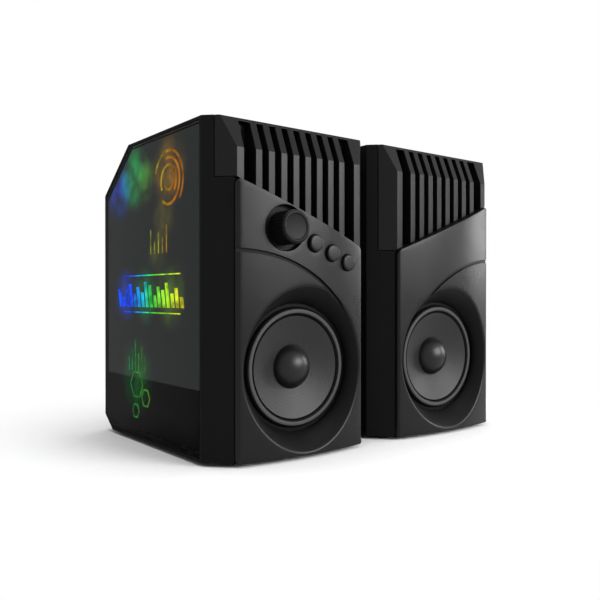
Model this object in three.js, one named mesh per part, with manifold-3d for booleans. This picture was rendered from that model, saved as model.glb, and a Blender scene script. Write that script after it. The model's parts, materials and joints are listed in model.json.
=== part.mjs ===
// A pair of powered desktop speakers: a main speaker with a volume knob and three push buttons, and a
// satellite speaker that is its mirror image without controls. Each cabinet is a faceted shell with a
// smoked window on its outer side, a finned grille over a bowed front baffle, and a driver in a scoop.
//
// Millimetres, +Z up. A cabinet is modelled with its outer side at x = 0, its fins' front plane at
// y = 0 and the floor at z = 0, and faces -Y. The satellite is the same cabinet mirrored across X.

import * as THREE from "three";
import { mergeVertices } from "three/addons/utils/BufferGeometryUtils.js";
import Module from "manifold-3d";

const wasm = await Module();
wasm.setup();

// ---------------------------------------------------------------- driving dimensions

const clearance = 0.3; // between two pieces that seat on or in each other
const overshoot = 1; // how far a cutting body runs past the face that it cuts

// Straight lengths that stand for a full circle
const wideCircle = 32;
const circle = 24;
const hiddenCircle = 16;
const smallCircle = 12;

// Pair and cabinet outline
const cabinetGap = 5;
const cabinetDepth = 142;
const facetWidth = 13; // the corner facet, measured along the front
const facetDepth = 13.5; // the corner facet, measured along the side
const browRise = 16.5; // the slope over the fins
const browDepth = 6.5;
const backSlopeDepth = 39;
const backSlopeRise = 29;
const heelDepth = 14.5;
const heelRise = 10.5;
const backCornerRadius = 3;
const wall = 2.5;

// Feet
const footRadius = 7;
const footHeight = 2; // the cabinet's underside above the floor
const footPocketDepth = 1;
const footEdgeInset = 17; // foot centre from the cabinet's sides and back

// Side window, light guide and inner bulkhead
const windowRim = 1.8;
const windowThickness = 2.5;
const guideThickness = 3;
const ledStripHeight = 2.4;
const ledStripWidth = 5;
const diodePitch = 12;
const diodeWidth = 2.8;
const diodeLength = 3.5;
const bulkheadThickness = 2;
const lightChamberDepth = 9; // outer face of the bulkhead from the cabinet's side
const jambDepth = 16; // the front frame of the light chamber, measured from the fins' plane

// Front baffle, whose size follows from the driver that it carries
const driverHoleRadius = 35.2;
const driverSideMargin = 7.5; // from the driver's hole to the baffle's side
const driverFloorMargin = 11.3; // from the hole to the cabinet's underside
const controlBand = 31.8; // from the hole to the baffle's top edge at its inner side
const slopeDrop = 33; // how far the top edge falls from the outer side to the inner side
const finHeight = 31.5; // from the top edge at the outer side to the cabinet's top
const baffleOverhang = 0.7; // how far the baffle's side stands over the corner facet
const baffleEdgeProud = 1.5; // ahead of the fins' plane at the baffle's sides
const baffleBowRise = 4.5; // further ahead at the middle
const baffleEdgeRadius = 2;
const baffleWall = 3;
const baffleRim = 1.6; // the rim that enters the shell's front opening
const baffleRearDepth = 6.5; // the baffle's rear plane behind the fins' plane
const slopeCornerRadius = 5;
const flangeDepth = 2; // the shell's front flange behind the fins' plane
const flangeWidth = 5;
const grooveRise = 27.3; // from the top of the hole to where the groove leaves the outer side
const grooveWidth = 1.3;
const grooveDepth = 1.4;
const scoopSideLand = 3.2; // front face left beside the scoop, at the baffle's sides
const scoopFlareUp = 0.8; // height gained for each millimetre forward, above and below
const scoopSeatDepth = 6; // where the scoop meets the driver's hole

// Fin grille
const finCount = 8;
const finPitch = 8.1;
const finThickness = 4.2;
const endPlateWidth = 4.5;
const slotDepth = 11;
const grilleDepth = 15.7;
const grilleTopRim = 1.6;
const cheekInset = 5; // the grille's cheeks start this far from the cabinet's sides

// Driver
const frameLand = 3.8; // the flange's width outside the hole
const frameThickness = 2;
const gasketThickness = 1;
const surroundLand = 1.6; // flat rubber outside the roll
const surroundRollRadius = 2.4;
const surroundThickness = 0.8;
const surroundLap = 2.2; // flat rubber under the cone's edge
const coneDepth = 4.4;
const coneThickness = 0.9;
const coneCurve = 1.25; // how much the cone steepens towards its neck
const dustCapRadius = 12.2;
const dustCapRise = 8;
const dustCapThickness = 0.8;
const coilInnerRadius = 9.7;
const coilThickness = 1.1;
const coilReach = 4; // into the magnet's gap
const coilGap = 0.7; // between the coil and the basket's plate
const poleGap = 0.5; // between the pole and the coil
const spiderSetback = 3.5; // behind the cone's neck
const spiderWave = 0.5;
const spiderThickness = 0.6;
const basketWall = 1.5;
const basketSlopeWidth = 6.7; // from the basket's mouth in to the spider's ledge
const spiderLedgeWidth = 6.1;
const basketWindowHalf = 12;
const basketDepth = 21; // flange front to the back of the basket
const magnetInset = 7.7; // the magnet is this much smaller in radius than the hole
const magnetThickness = 9;
const yokeInset = 3.5; // and the yoke this much smaller than the magnet
const yokeThickness = 3;

// Controls
const controlDrop = 13.5; // from the baffle's sloping top edge, square to it
const knobOffset = 40; // from the cabinet's outer side
const knobRadius = 9;
const knobProud = 9.5;
const knobFluteCount = 30;
const knobFluteDepth = 0.4;
const knobBevel = 1;
const knobRim = 2.2; // round the dimple in its front
const knobRoof = 3; // in front of the shaft
const dishRadius = 12.2;
const dishDepth = 3.2;
const dishGap = 0.5; // under the knob
const dishWall = 2; // round the dish, behind the baffle
const shaftRadius = 3;
const shaftSeat = 2.5; // how deep the shaft enters the potentiometer
const shaftBoreGap = 0.4;
const potRadius = 6.2;
const buttonRadius = 4.5;
const buttonProud = 2.2;
const buttonTravel = 1;
const firstButtonOffset = 59; // from the cabinet's outer side
const buttonPitch = 12.5; // measured across the cabinet
const buttonCount = 3;
const buttonFlange = 1.1;
const buttonFlangeThickness = 1.2;
const buttonBevel = 0.7;
const buttonHoleGap = 0.4;
const stemRadius = 1.5;
const boardThickness = 1.6;
const controlBoardDepth = 9; // its front face behind the fins' plane
const controlBoardWidth = 20;
const switchSize = 6;
const switchHeight = 3.5;
const boardPostRadius = 2.5;
const boardPostInset = 7; // from the control line towards the board's lower edge

// Rear cover, sockets and amplifier
const rearCoverInset = 15; // from the cabinet's sides, its sloping back and its heel
const rearLedgeWidth = 4;
const rearLedgeDepth = 2.8;
const socketHeight = 34;
const socketPitch = 18;
const inletRadius = 5.5;
const inletBoreRadius = 3.1;
const inletPinRadius = 1;
const jackRadius = 4;
const jackBoreRadius = 1.8;
const socketShoulder = 1.5;
const socketBodyDepth = 7; // in front of the cover's ledge
const socketBoreDepth = 6;
const socketFieldMargin = 9.5; // recessed field round the sockets' centres
const socketFieldCorner = 3;
const socketFieldDepth = 0.6;
const coverCornerRadius = 2;
const standoffLength = 9;
const standoffRadius = 2.5;
const standoffInset = 6; // from the amplifier board's edges
const amplifierRise = 8; // the board's lower edge above the sockets' line
const amplifierWidth = 66;
const amplifierHeight = 52;
const heatsinkWidth = 28;
const heatsinkHeight = 26;
const heatsinkDepth = 14;
const heatsinkBase = 3;
const heatsinkFinCount = 5;
const heatsinkFinThickness = 2;
const capacitorRadius = 5;

// ---------------------------------------------------------------- derived sizes

const baffleLeft = facetWidth - baffleOverhang;
const halfChord = driverHoleRadius + driverSideMargin;
const baffleRight = baffleLeft + 2 * halfChord;
const cabinetWidth = baffleLeft + baffleRight;
const midWidth = cabinetWidth / 2;
const driverHeight = footHeight + driverFloorMargin + driverHoleRadius;
const slopeInnerHeight = driverHeight + driverHoleRadius + controlBand;
const slopeOuterHeight = slopeInnerHeight + slopeDrop;
const cabinetHeight = slopeOuterHeight + finHeight;
const grooveHeight = driverHeight + driverHoleRadius + grooveRise;
const bowRadius = (halfChord ** 2 + baffleBowRise ** 2) / (2 * baffleBowRise);
const bowFront = -(baffleEdgeProud + baffleBowRise);
const jambBack = jambDepth + wall;
const slopeGradient = -slopeDrop / (baffleRight - baffleLeft);
const slopeAngle = Math.atan(slopeGradient);

// Depth of the bowed front at a distance x across the cabinet.
const bowDepth = (x) => bowFront + bowRadius - Math.sqrt(bowRadius ** 2 - (x - midWidth) ** 2);
// Height of the baffle's sloping top edge.
const slopeHeight = (x) => slopeOuterHeight + (x - baffleLeft) * slopeGradient;
// Height of the line that the knob and buttons stand on.
const controlHeight = (x) => slopeHeight(x) - controlDrop / Math.cos(slopeAngle);

const knobFront = bowDepth(knobOffset) - knobProud;
const dishFloor = bowDepth(knobOffset) + dishDepth;
const frameRadius = driverHoleRadius + frameLand;
const gasketFront = baffleRearDepth + clearance;
const frameFront = gasketFront + gasketThickness + clearance;
const basketBack = frameFront + basketDepth;
const rearFace = cabinetDepth - wall;
const rearCoverBottom = footHeight + heelRise + rearCoverInset / 2;
const rearCoverTop = cabinetHeight - backSlopeRise - rearCoverInset;
const bulkheadBack = lightChamberDepth + bulkheadThickness;

// ---------------------------------------------------------------- solids and outlines

const vector = ([u, v]) => new THREE.Vector2(u, v);

function signedArea(points) {
  return THREE.ShapeUtils.area(points.map(vector));
}

// A closed three.js geometry as a solid, its doubled points merged.
function solid(geometry) {
  geometry.deleteAttribute("normal");
  geometry.deleteAttribute("uv");
  const merged = mergeVertices(geometry, 1e-4);
  const corners = Array.from(merged.index.array);
  const triangles = [];
  for (let i = 0; i < corners.length; i += 3) {
    const [a, b, c] = corners.slice(i, i + 3);
    if (a !== b && b !== c && c !== a) triangles.push(a, b, c);
  }
  return new wasm.Manifold(
    new wasm.Mesh({
      numProp: 3,
      vertProperties: merged.attributes.position.array,
      triVerts: new Uint32Array(triangles),
    }),
  );
}

const union = (bodies) => bodies.reduce((all, body) => all.add(body));

function extrude(points, depth, basis) {
  const shape = new THREE.Shape(points.map(vector));
  const geometry = new THREE.ExtrudeGeometry(shape, { depth, bevelEnabled: false });
  return solid(geometry.applyMatrix4(basis));
}

const axisX = new THREE.Vector3(1, 0, 0);
const axisY = new THREE.Vector3(0, 1, 0);
const axisZ = new THREE.Vector3(0, 0, 1);
const backwards = new THREE.Vector3(0, -1, 0);

// Outline points (y, z) carried along X.
function alongX(points, from, to) {
  const basis = new THREE.Matrix4().makeBasis(axisY, axisZ, axisX).setPosition(from, 0, 0);
  return extrude(points, to - from, basis);
}

// Outline points (x, z) carried along Y.
function alongY(points, from, to) {
  const basis = new THREE.Matrix4().makeBasis(axisX, axisZ, backwards).setPosition(0, to, 0);
  return extrude(points, to - from, basis);
}

// Outline points (x, y) carried along Z.
function alongZ(points, from, to) {
  return extrude(points, to - from, new THREE.Matrix4().setPosition(0, 0, from));
}

const rectangle = (left, bottom, right, top) => [
  [left, bottom],
  [right, bottom],
  [right, top],
  [left, top],
];

function box(x0, x1, y0, y1, z0, z1) {
  return alongZ(rectangle(x0, y0, x1, y1), z0, z1);
}

// A profile of (radius, y) points turned about an axis along Y through (x, z).
function turned(profile, x, z, segments = circle) {
  const ring = signedArea(profile) > 0 ? profile : [...profile].reverse();
  const geometry = new THREE.LatheGeometry([...ring, ring[0]].map(vector), segments);
  return solid(geometry.translate(x, 0, z));
}

const disc = (radius, x, z, from, to, segments) =>
  turned([[0, from], [radius, from], [radius, to], [0, to]], x, z, segments);

const ring = (inner, outer, x, z, from, to, segments) =>
  turned([[inner, from], [outer, from], [outer, to], [inner, to]], x, z, segments);

// Moves every edge of a convex outline inwards by a distance, or outwards where it is negative.
function inset(points, distance) {
  const turn = Math.sign(signedArea(points));
  const normals = points.map((point, i) => {
    const edge = vector(points[(i + 1) % points.length]).sub(vector(point)).normalize();
    return new THREE.Vector2(-edge.y, edge.x).multiplyScalar(turn);
  });
  return points.map((point, i) => {
    const before = normals[(i + points.length - 1) % points.length];
    const after = normals[i];
    const reach = distance / (1 + before.dot(after));
    return [point[0] + (before.x + after.x) * reach, point[1] + (before.y + after.y) * reach];
  });
}

// Replaces each corner that has a radius by an arc.
function rounded(points, radii, steps = 5) {
  return points.flatMap((point, i) => {
    const radius = radii[i] ?? 0;
    if (!radius) return [point];
    const corner = vector(point);
    const before = vector(points[(i + points.length - 1) % points.length]).sub(corner).normalize();
    const after = vector(points[(i + 1) % points.length]).sub(corner).normalize();
    const half = Math.acos(before.dot(after)) / 2;
    const centre = before.clone().add(after).normalize().multiplyScalar(radius / Math.sin(half)).add(corner);
    const reach = radius / Math.tan(half);
    const start = before.multiplyScalar(reach).add(corner).sub(centre).angle();
    const end = after.multiplyScalar(reach).add(corner).sub(centre).angle();
    const sweep = THREE.MathUtils.euclideanModulo(end - start + Math.PI, 2 * Math.PI) - Math.PI;
    return Array.from({ length: steps + 1 }, (_, k) => {
      const angle = start + (sweep * k) / steps;
      return [centre.x + radius * Math.cos(angle), centre.y + radius * Math.sin(angle)];
    });
  });
}

// Points of an arc, from one angle to another in radians.
function arc(centreU, centreV, radius, from, to, steps) {
  return Array.from({ length: steps + 1 }, (_, k) => {
    const angle = from + ((to - from) * k) / steps;
    return [centreU + radius * Math.cos(angle), centreV + radius * Math.sin(angle)];
  });
}

// ---------------------------------------------------------------- shared outlines

// The cabinet seen from its side, as (y, z).
const sideOutline = [
  [0, footHeight],
  [cabinetDepth - heelDepth, footHeight],
  [cabinetDepth, footHeight + heelRise],
  [cabinetDepth, cabinetHeight - backSlopeRise],
  [cabinetDepth - backSlopeDepth, cabinetHeight],
  [browDepth, cabinetHeight],
  [0, cabinetHeight - browRise],
];

// The flat side face behind the corner facet, as (y, z).
const sideFace = [
  [facetDepth, footHeight],
  [cabinetDepth - heelDepth, footHeight],
  [cabinetDepth, footHeight + heelRise],
  [cabinetDepth, cabinetHeight - backSlopeRise],
  [cabinetDepth - backSlopeDepth, cabinetHeight],
  [facetDepth, cabinetHeight],
];

// The cabinet seen from above, as (x, y).
const planOutline = [
  [0, facetDepth],
  [facetWidth, 0],
  [cabinetWidth - facetWidth, 0],
  [cabinetWidth, facetDepth],
  [cabinetWidth, cabinetDepth],
  [0, cabinetDepth],
];

// The grille's outline on the front, as (x, z): it follows the baffle's sloping top edge.
const grilleOutline = [
  [cheekInset, slopeOuterHeight],
  [baffleLeft, slopeOuterHeight],
  [baffleRight, slopeInnerHeight],
  [cabinetWidth - cheekInset, slopeInnerHeight],
  [cabinetWidth - cheekInset, cabinetHeight + overshoot],
  [cheekInset, cabinetHeight + overshoot],
];

// The baffle's outline on the front, as (x, z), a clearance below the grille.
const baffleOutline = rounded(
  [
    [baffleLeft, footHeight],
    [baffleRight, footHeight],
    [baffleRight, slopeInnerHeight - clearance],
    [baffleLeft, slopeOuterHeight - clearance],
  ],
  [0, 0, slopeCornerRadius, 0],
);

// The shell's front opening and, a clearance smaller, the part of the baffle that enters it.
function frontOpening(smaller) {
  return inset(
    [
      [baffleLeft, footHeight],
      [baffleRight, footHeight],
      [baffleRight, slopeInnerHeight],
      [baffleLeft, slopeOuterHeight],
    ],
    flangeWidth + smaller,
  );
}

const rearOpening = rectangle(
  rearCoverInset,
  rearCoverBottom,
  cabinetWidth - rearCoverInset,
  rearCoverTop,
);

// The cabinet's outer form, or the same form with every wall moved inwards.
function cabinetForm(thickness) {
  const side = alongX(inset(sideOutline, thickness), thickness, cabinetWidth - thickness);
  const corners = planOutline.map((_, i) => (i > 3 ? Math.max(backCornerRadius - thickness, 0) : 0));
  const plan = rounded(inset(planOutline, thickness), corners);
  return side.intersect(alongZ(plan, 0, cabinetHeight + overshoot));
}

// The baffle's plan outline as (x, y), moved back from its bowed front by a thickness.
function bowedPlan(left, right, back, behind, edgeRadius) {
  const steps = 16;
  const first = left + edgeRadius;
  const last = right - edgeRadius;
  const front = Array.from({ length: steps + 1 }, (_, k) => {
    const x = first + ((last - first) * k) / steps;
    return [x, bowDepth(x) + behind];
  });
  const edgeDepth = bowDepth(first) + behind + edgeRadius;
  const leftRound = arc(first, edgeDepth, edgeRadius, Math.PI, 1.5 * Math.PI, 4).slice(0, -1);
  const rightRound = arc(last, edgeDepth, edgeRadius, 1.5 * Math.PI, 2 * Math.PI, 4).slice(1);
  const sides = edgeRadius ? [leftRound, rightRound] : [[], []];
  return [[left, back], ...sides[0], ...front, ...sides[1], [right, back]];
}

const footPlaces = [
  [footEdgeInset, footEdgeInset],
  [cabinetWidth - footEdgeInset, footEdgeInset],
  [footEdgeInset, cabinetDepth - heelDepth - footEdgeInset],
  [cabinetWidth - footEdgeInset, cabinetDepth - heelDepth - footEdgeInset],
];

function upright(radius, x, y, from, to, segments = smallCircle) {
  const outline = arc(x, y, radius, 0, 2 * Math.PI, segments).slice(0, -1);
  return alongZ(outline, from, to);
}

// ---------------------------------------------------------------- cabinet

// Moulded shell: hollow, open at the outer side, the front and the back, with a walled bay behind the
// grille, a flange behind the baffle, a jamb for the window and a ledge for the rear cover.
function cabinetShell() {
  const form = cabinetForm(0);
  const hollow = cabinetForm(wall);
  const top = cabinetHeight + overshoot;
  const partitions = union([
    box(0, cabinetWidth, 0, flangeDepth + wall, 0, top),
    alongY(inset(grilleOutline, -wall), 0, jambBack),
    box(0, facetWidth, jambDepth, jambBack, 0, top),
    box(bulkheadBack + clearance, cabinetWidth, rearFace - rearLedgeDepth, cabinetDepth,
      rearCoverBottom - rearLedgeWidth, rearCoverTop + rearLedgeWidth),
  ]).intersect(form);
  const shell = form.subtract(hollow).add(partitions);
  const lipRecess = inset(
    [
      [baffleLeft, -overshoot],
      [baffleRight, -overshoot],
      [baffleRight, slopeInnerHeight],
      [baffleLeft, slopeOuterHeight],
    ],
    -clearance,
  );
  const cuts = [
    alongY(lipRecess, -overshoot, flangeDepth),
    alongY(frontOpening(0), 0, flangeDepth + wall + overshoot),
    alongY(inset(grilleOutline, -clearance), -overshoot, jambDepth),
    alongX(inset(sideFace, windowRim), -overshoot, windowThickness + clearance),
    alongY(rearOpening, rearFace, cabinetDepth + overshoot),
    alongY(inset(rearOpening, rearLedgeWidth), rearFace - rearLedgeDepth - overshoot, rearFace + overshoot),
    ...footPlaces.map(([x, y]) =>
      upright(footRadius + clearance, x, y, 0, footHeight + footPocketDepth)),
  ];
  return shell.subtract(union(cuts));
}

function foot([x, y]) {
  return upright(footRadius, x, y, 0, footHeight + footPocketDepth - clearance);
}

// ---------------------------------------------------------------- lit side

function sideWindow() {
  return alongX(inset(sideFace, windowRim + clearance), 0, windowThickness);
}

// Behind the jamb and clear of the walls, as (y, z).
function chamberOutline(margin) {
  return inset(
    [[jambDepth, footHeight], ...sideFace.slice(1, -1), [jambDepth, cabinetHeight]],
    wall + margin,
  );
}

function lightGuide() {
  const from = windowThickness + clearance;
  const plate = alongX(chamberOutline(clearance), from, from + guideThickness);
  const floor = footHeight + wall + ledStripHeight + 2 * clearance;
  return plate.subtract(box(0, lightChamberDepth, 0, cabinetDepth, 0, floor));
}

// Circuit strip with a row of light-emitting diodes under the light guide's edge.
function ledStrip() {
  const from = windowThickness + clearance;
  const start = jambBack + 2 * clearance;
  const end = cabinetDepth - heelDepth - wall;
  const floor = footHeight + wall + clearance;
  const strip = box(from, from + ledStripWidth, start, end, floor, floor + ledStripHeight / 2);
  const count = Math.floor((end - start) / diodePitch);
  const margin = (guideThickness - diodeWidth) / 2;
  const diodes = Array.from({ length: count }, (_, k) => {
    const y = start + diodePitch * (k + 0.5);
    return box(from + margin, from + margin + diodeWidth, y, y + diodeLength, floor,
      floor + ledStripHeight);
  });
  return union([strip, ...diodes]);
}

function bulkhead() {
  return alongX(chamberOutline(clearance), lightChamberDepth, bulkheadBack);
}

// ---------------------------------------------------------------- front

// Fins between two end plates, with cheeks that carry on the corner facets.
function finGrille() {
  const slab = cabinetForm(0).intersect(alongY(grilleOutline, -overshoot, grilleDepth));
  const finSpan = finPitch * (finCount - 1) + finThickness;
  const firstFin = midWidth - finSpan / 2;
  const fins = Array.from({ length: finCount }, (_, k) => {
    const left = firstFin + finPitch * k;
    return [left, left + finThickness];
  });
  const bars = [
    [facetWidth, facetWidth + endPlateWidth],
    ...fins,
    [cabinetWidth - facetWidth - endPlateWidth, cabinetWidth - facetWidth],
  ];
  const slots = bars.slice(1).map(([right], k) =>
    box(bars[k][1], right, -overshoot, slotDepth, 0, cabinetHeight - grilleTopRim));
  return slab.subtract(union(slots));
}

// The solid in front of a sheet that lies a given distance behind the bowed front.
function aheadOfBow(behind) {
  const front = bowFront - overshoot;
  const plan = bowedPlan(baffleLeft - overshoot, baffleRight + overshoot, front, behind, 0);
  return alongZ(plan, -overshoot, cabinetHeight);
}

// The groove runs level from the outer side and meets the scoop's rim as a tangent.
function grooveCutter() {
  const rimRadius = halfChord - scoopSideLand + grooveWidth / 2;
  const rise = grooveHeight - rimRadius;
  const centreHeight =
    (rise ** 2 - halfChord ** 2 - driverHeight ** 2) / (2 * (rise - driverHeight));
  const radius = grooveHeight - centreHeight;
  const touch = Math.atan2(driverHeight - centreHeight, halfChord);
  const start = Math.PI / 2 + overshoot / radius;
  const half = grooveWidth / 2;
  const outer = arc(baffleLeft, centreHeight, radius + half, start, touch, 20);
  const inner = arc(baffleLeft, centreHeight, radius - half, touch, start, 20);
  return alongY([...outer, ...inner], bowFront - overshoot, baffleRearDepth).intersect(
    aheadOfBow(grooveDepth),
  );
}

// The scoop widens forwards from the round hole to an upright oval.
function scoopCutter() {
  const front = bowFront - overshoot;
  const sideDepth = scoopSeatDepth + baffleEdgeProud;
  const flareAcross = (halfChord - scoopSideLand - driverHoleRadius) / sideDepth;
  const oval = (depth) => {
    const forward = scoopSeatDepth - depth;
    const across = driverHoleRadius + flareAcross * forward;
    const up = driverHoleRadius + scoopFlareUp * forward;
    return Array.from({ length: wideCircle }, (_, k) => {
      const angle = (2 * Math.PI * k) / wideCircle;
      return [midWidth + across * Math.cos(angle), depth, driverHeight + up * Math.sin(angle)];
    });
  };
  const flare = wasm.Manifold.hull([...oval(front), ...oval(scoopSeatDepth)]);
  const hole = disc(driverHoleRadius, midWidth, driverHeight, bowFront,
    baffleRearDepth + overshoot, wideCircle);
  return flare.add(hole);
}

const buttonPlaces = Array.from({ length: buttonCount }, (_, k) => {
  const x = firstButtonOffset + buttonPitch * k;
  return [x, controlHeight(x)];
});

// Posts for the control board, towards its lower edge: beside the dish and between two buttons.
const boardPosts = [knobOffset - dishRadius - dishWall, firstButtonOffset + buttonPitch / 2].map(
  (x) => [
    x + boardPostInset * Math.sin(slopeAngle),
    controlHeight(x) - boardPostInset * Math.cos(slopeAngle),
  ],
);

// Bowed moulding with rounded sides. It laps the shell's flange, a rim behind it enters the front
// opening, and it carries the driver in a flared scoop.
function frontBaffle(hasControls) {
  const lipPlan = bowedPlan(baffleLeft, baffleRight, flangeDepth - clearance, 0, baffleEdgeRadius);
  const opening = frontOpening(clearance);
  const plugPlan = bowedPlan(baffleLeft + 1, baffleRight - 1, baffleRearDepth, 0, 0);
  const lip = alongZ(lipPlan, footHeight, cabinetHeight).intersect(
    alongY(baffleOutline, bowFront - overshoot, flangeDepth),
  );
  const plug = alongZ(plugPlan, footHeight, cabinetHeight).intersect(
    alongY(opening, flangeDepth - clearance - overshoot, baffleRearDepth),
  );
  const pocketPlan = bowedPlan(baffleLeft, baffleRight, baffleRearDepth + overshoot, baffleWall, 0);
  const knobHeight = controlHeight(knobOffset);
  const seat = frameRadius + frameLand;
  const kept = [disc(seat, midWidth, driverHeight, bowFront, baffleRearDepth + overshoot)];
  if (hasControls) {
    const floorBack = dishFloor + baffleWall;
    kept.push(
      disc(dishRadius + dishWall, knobOffset, knobHeight, bowFront, floorBack, hiddenCircle));
  }
  const pocket = alongZ(pocketPlan, footHeight, cabinetHeight)
    .intersect(alongY(inset(opening, baffleRim), bowFront, baffleRearDepth + overshoot))
    .subtract(union(kept));
  let baffle = lip.add(plug).subtract(pocket);
  const cuts = [scoopCutter(), grooveCutter()];
  if (hasControls) {
    const posts = boardPosts.map(([x, z]) =>
      disc(boardPostRadius, x, z, bowDepth(x) + baffleWall / 2, controlBoardDepth - clearance,
        smallCircle));
    baffle = union([baffle, ...posts]);
    const bore = shaftRadius + shaftBoreGap;
    cuts.push(disc(dishRadius, knobOffset, knobHeight, bowFront - overshoot, dishFloor));
    cuts.push(disc(bore, knobOffset, knobHeight, bowFront, baffleRearDepth, smallCircle));
    for (const [x, z] of buttonPlaces) {
      const hole = buttonRadius + buttonHoleGap;
      cuts.push(disc(hole, x, z, bowFront - overshoot, baffleRearDepth, hiddenCircle));
    }
  }
  return baffle.subtract(union(cuts));
}

// ---------------------------------------------------------------- driver

const surroundRadius = driverHoleRadius - clearance - surroundLand - surroundRollRadius;
const coneRadius = surroundRadius - surroundRollRadius - clearance;
const coneFront = gasketFront - clearance - coneThickness;
const coneBack = coneFront + coneDepth;
const coilOuterRadius = coilInnerRadius + coilThickness;
const coneNeckRadius = coilOuterRadius + clearance;
const spiderFront = coneBack + coneThickness + spiderSetback;
const spiderBack = spiderFront + spiderWave + spiderThickness;
const ledgeFront = spiderBack + clearance;
const basketMouth = driverHoleRadius - surroundRollRadius;
const ledgeOuter = basketMouth - basketSlopeWidth;
const ledgeInner = ledgeOuter - spiderLedgeWidth;
const spiderRadius = ledgeOuter - basketWall;
const magnetRadius = driverHoleRadius - magnetInset;
const yokeRadius = magnetRadius - yokeInset;
const poleRadius = coilInnerRadius - poleGap;

// Depth of the cone's front at a radius.
const conePlace = (radius) => {
  const t = (coneRadius - radius) / (coneRadius - coneNeckRadius);
  return coneFront + coneDepth * (1 - (1 - t) ** coneCurve);
};

const atDriver = (profile, segments) => turned(profile, midWidth, driverHeight, segments);

// Foam ring between the baffle and the driver's flange.
function driverGasket() {
  return ring(driverHoleRadius + clearance, frameRadius, midWidth, driverHeight, gasketFront,
    gasketFront + gasketThickness, circle);
}

// Pressed basket: flange, open sloping wall, ledge for the spider and plate over the magnet.
function driverFrame() {
  const flangeBack = frameFront + frameThickness;
  const ledgeBack = ledgeFront + basketWall;
  const plateHole = coilOuterRadius + coilGap;
  const plateFront = basketBack - frameThickness;
  const basket = atDriver([
    [basketMouth, frameFront],
    [frameRadius, frameFront],
    [frameRadius, flangeBack],
    [basketMouth + basketWall, flangeBack],
    [ledgeOuter + basketWall, ledgeBack],
    [ledgeInner + 2 * basketWall, ledgeBack],
    [ledgeInner + 2 * basketWall, basketBack],
    [plateHole, basketBack],
    [plateHole, plateFront],
    [ledgeInner + basketWall, plateFront],
    [ledgeInner + basketWall, ledgeBack],
    [ledgeInner, ledgeBack],
    [ledgeInner, ledgeFront],
    [ledgeOuter, ledgeFront],
    [basketMouth, flangeBack],
  ], hiddenCircle);
  const from = flangeBack + basketWall / 2;
  const to = ledgeFront - basketWall / 2;
  const openings = [[frameRadius, basketWindowHalf], [basketWindowHalf, frameRadius]].map(
    ([across, up]) => box(midWidth - across, midWidth + across, from, to, driverHeight - up,
      driverHeight + up));
  return basket.subtract(union(openings));
}

// Rubber half-roll from the flange to a lap that lies under the cone's edge.
function driverSurround() {
  const inner = coneRadius - surroundLap;
  const lap = conePlace(inner) + coneThickness + clearance;
  const outer = driverHoleRadius - clearance;
  const landBack = frameFront - clearance;
  const base = gasketFront;
  const roll = arc(surroundRadius, base, surroundRollRadius, Math.PI, 2 * Math.PI, 6);
  const under = arc(surroundRadius, base + surroundThickness, surroundRollRadius - surroundThickness,
    2 * Math.PI, Math.PI, 3);
  return atDriver([
    [inner, lap],
    [coneRadius, base],
    ...roll,
    [outer, base],
    [outer, landBack],
    ...under,
    [coneRadius, base + surroundThickness],
    [inner, lap + surroundThickness],
  ], wideCircle);
}

// Shallow curved cone with an even wall.
function driverCone() {
  const steps = 3;
  const front = Array.from({ length: steps + 1 }, (_, k) => {
    const radius = coneRadius + ((coneNeckRadius - coneRadius) * k) / steps;
    return [radius, conePlace(radius)];
  });
  const back = front.map(([radius, depth]) => [radius, depth + coneThickness]).reverse();
  return atDriver([...front, ...back], wideCircle);
}

// Domed cap over the cone's neck.
function dustCap() {
  const rim = conePlace(dustCapRadius) - clearance;
  const radius = (dustCapRadius ** 2 + dustCapRise ** 2) / (2 * dustCapRise);
  const centre = rim - dustCapRise + radius;
  const half = Math.asin(dustCapRadius / radius);
  const dome = (r, steps) => arc(0, centre, r, -Math.PI / 2, -Math.PI / 2 + half, steps);
  const outside = dome(radius, 5);
  const inside = dome(radius - dustCapThickness, 2).reverse();
  outside[0][0] = 0;
  inside[inside.length - 1][0] = 0;
  return atDriver([...outside, ...inside], circle);
}

function voiceCoil() {
  return ring(coilInnerRadius, coilOuterRadius, midWidth, driverHeight, coneBack,
    basketBack + coilReach, hiddenCircle);
}

// Corrugated disc that centres the coil.
function spider() {
  const inner = coilOuterRadius + clearance;
  const waves = 4;
  const front = Array.from({ length: waves + 1 }, (_, k) => {
    const radius = inner + ((spiderRadius - inner) * k) / waves;
    return [radius, spiderFront + spiderWave * (k % 2)];
  });
  const back = front.map(([radius, depth]) => [radius, depth + spiderThickness]).reverse();
  return atDriver([...front, ...back], hiddenCircle);
}

function driverMagnet() {
  const from = basketBack + clearance;
  const back = from + magnetThickness;
  const bore = coilOuterRadius + 2 * coilGap;
  const bevel = 1;
  return atDriver([
    [bore, from],
    [magnetRadius - bevel, from],
    [magnetRadius, from + bevel],
    [magnetRadius, back - bevel],
    [magnetRadius - bevel, back],
    [bore, back],
  ], hiddenCircle);
}

// Back plate with the pole that stands inside the coil.
function driverYoke() {
  const plate = basketBack + magnetThickness + 2 * clearance;
  const poleFront = basketBack - frameThickness;
  const bevel = 0.6;
  return atDriver([
    [0, poleFront],
    [poleRadius - bevel, poleFront],
    [poleRadius, poleFront + bevel],
    [poleRadius, plate],
    [yokeRadius, plate],
    [yokeRadius, plate + yokeThickness],
    [0, plate + yokeThickness],
  ], hiddenCircle);
}

// ---------------------------------------------------------------- controls

const knobHeight = controlHeight(knobOffset);
const potFront = dishFloor + baffleWall + clearance;

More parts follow.
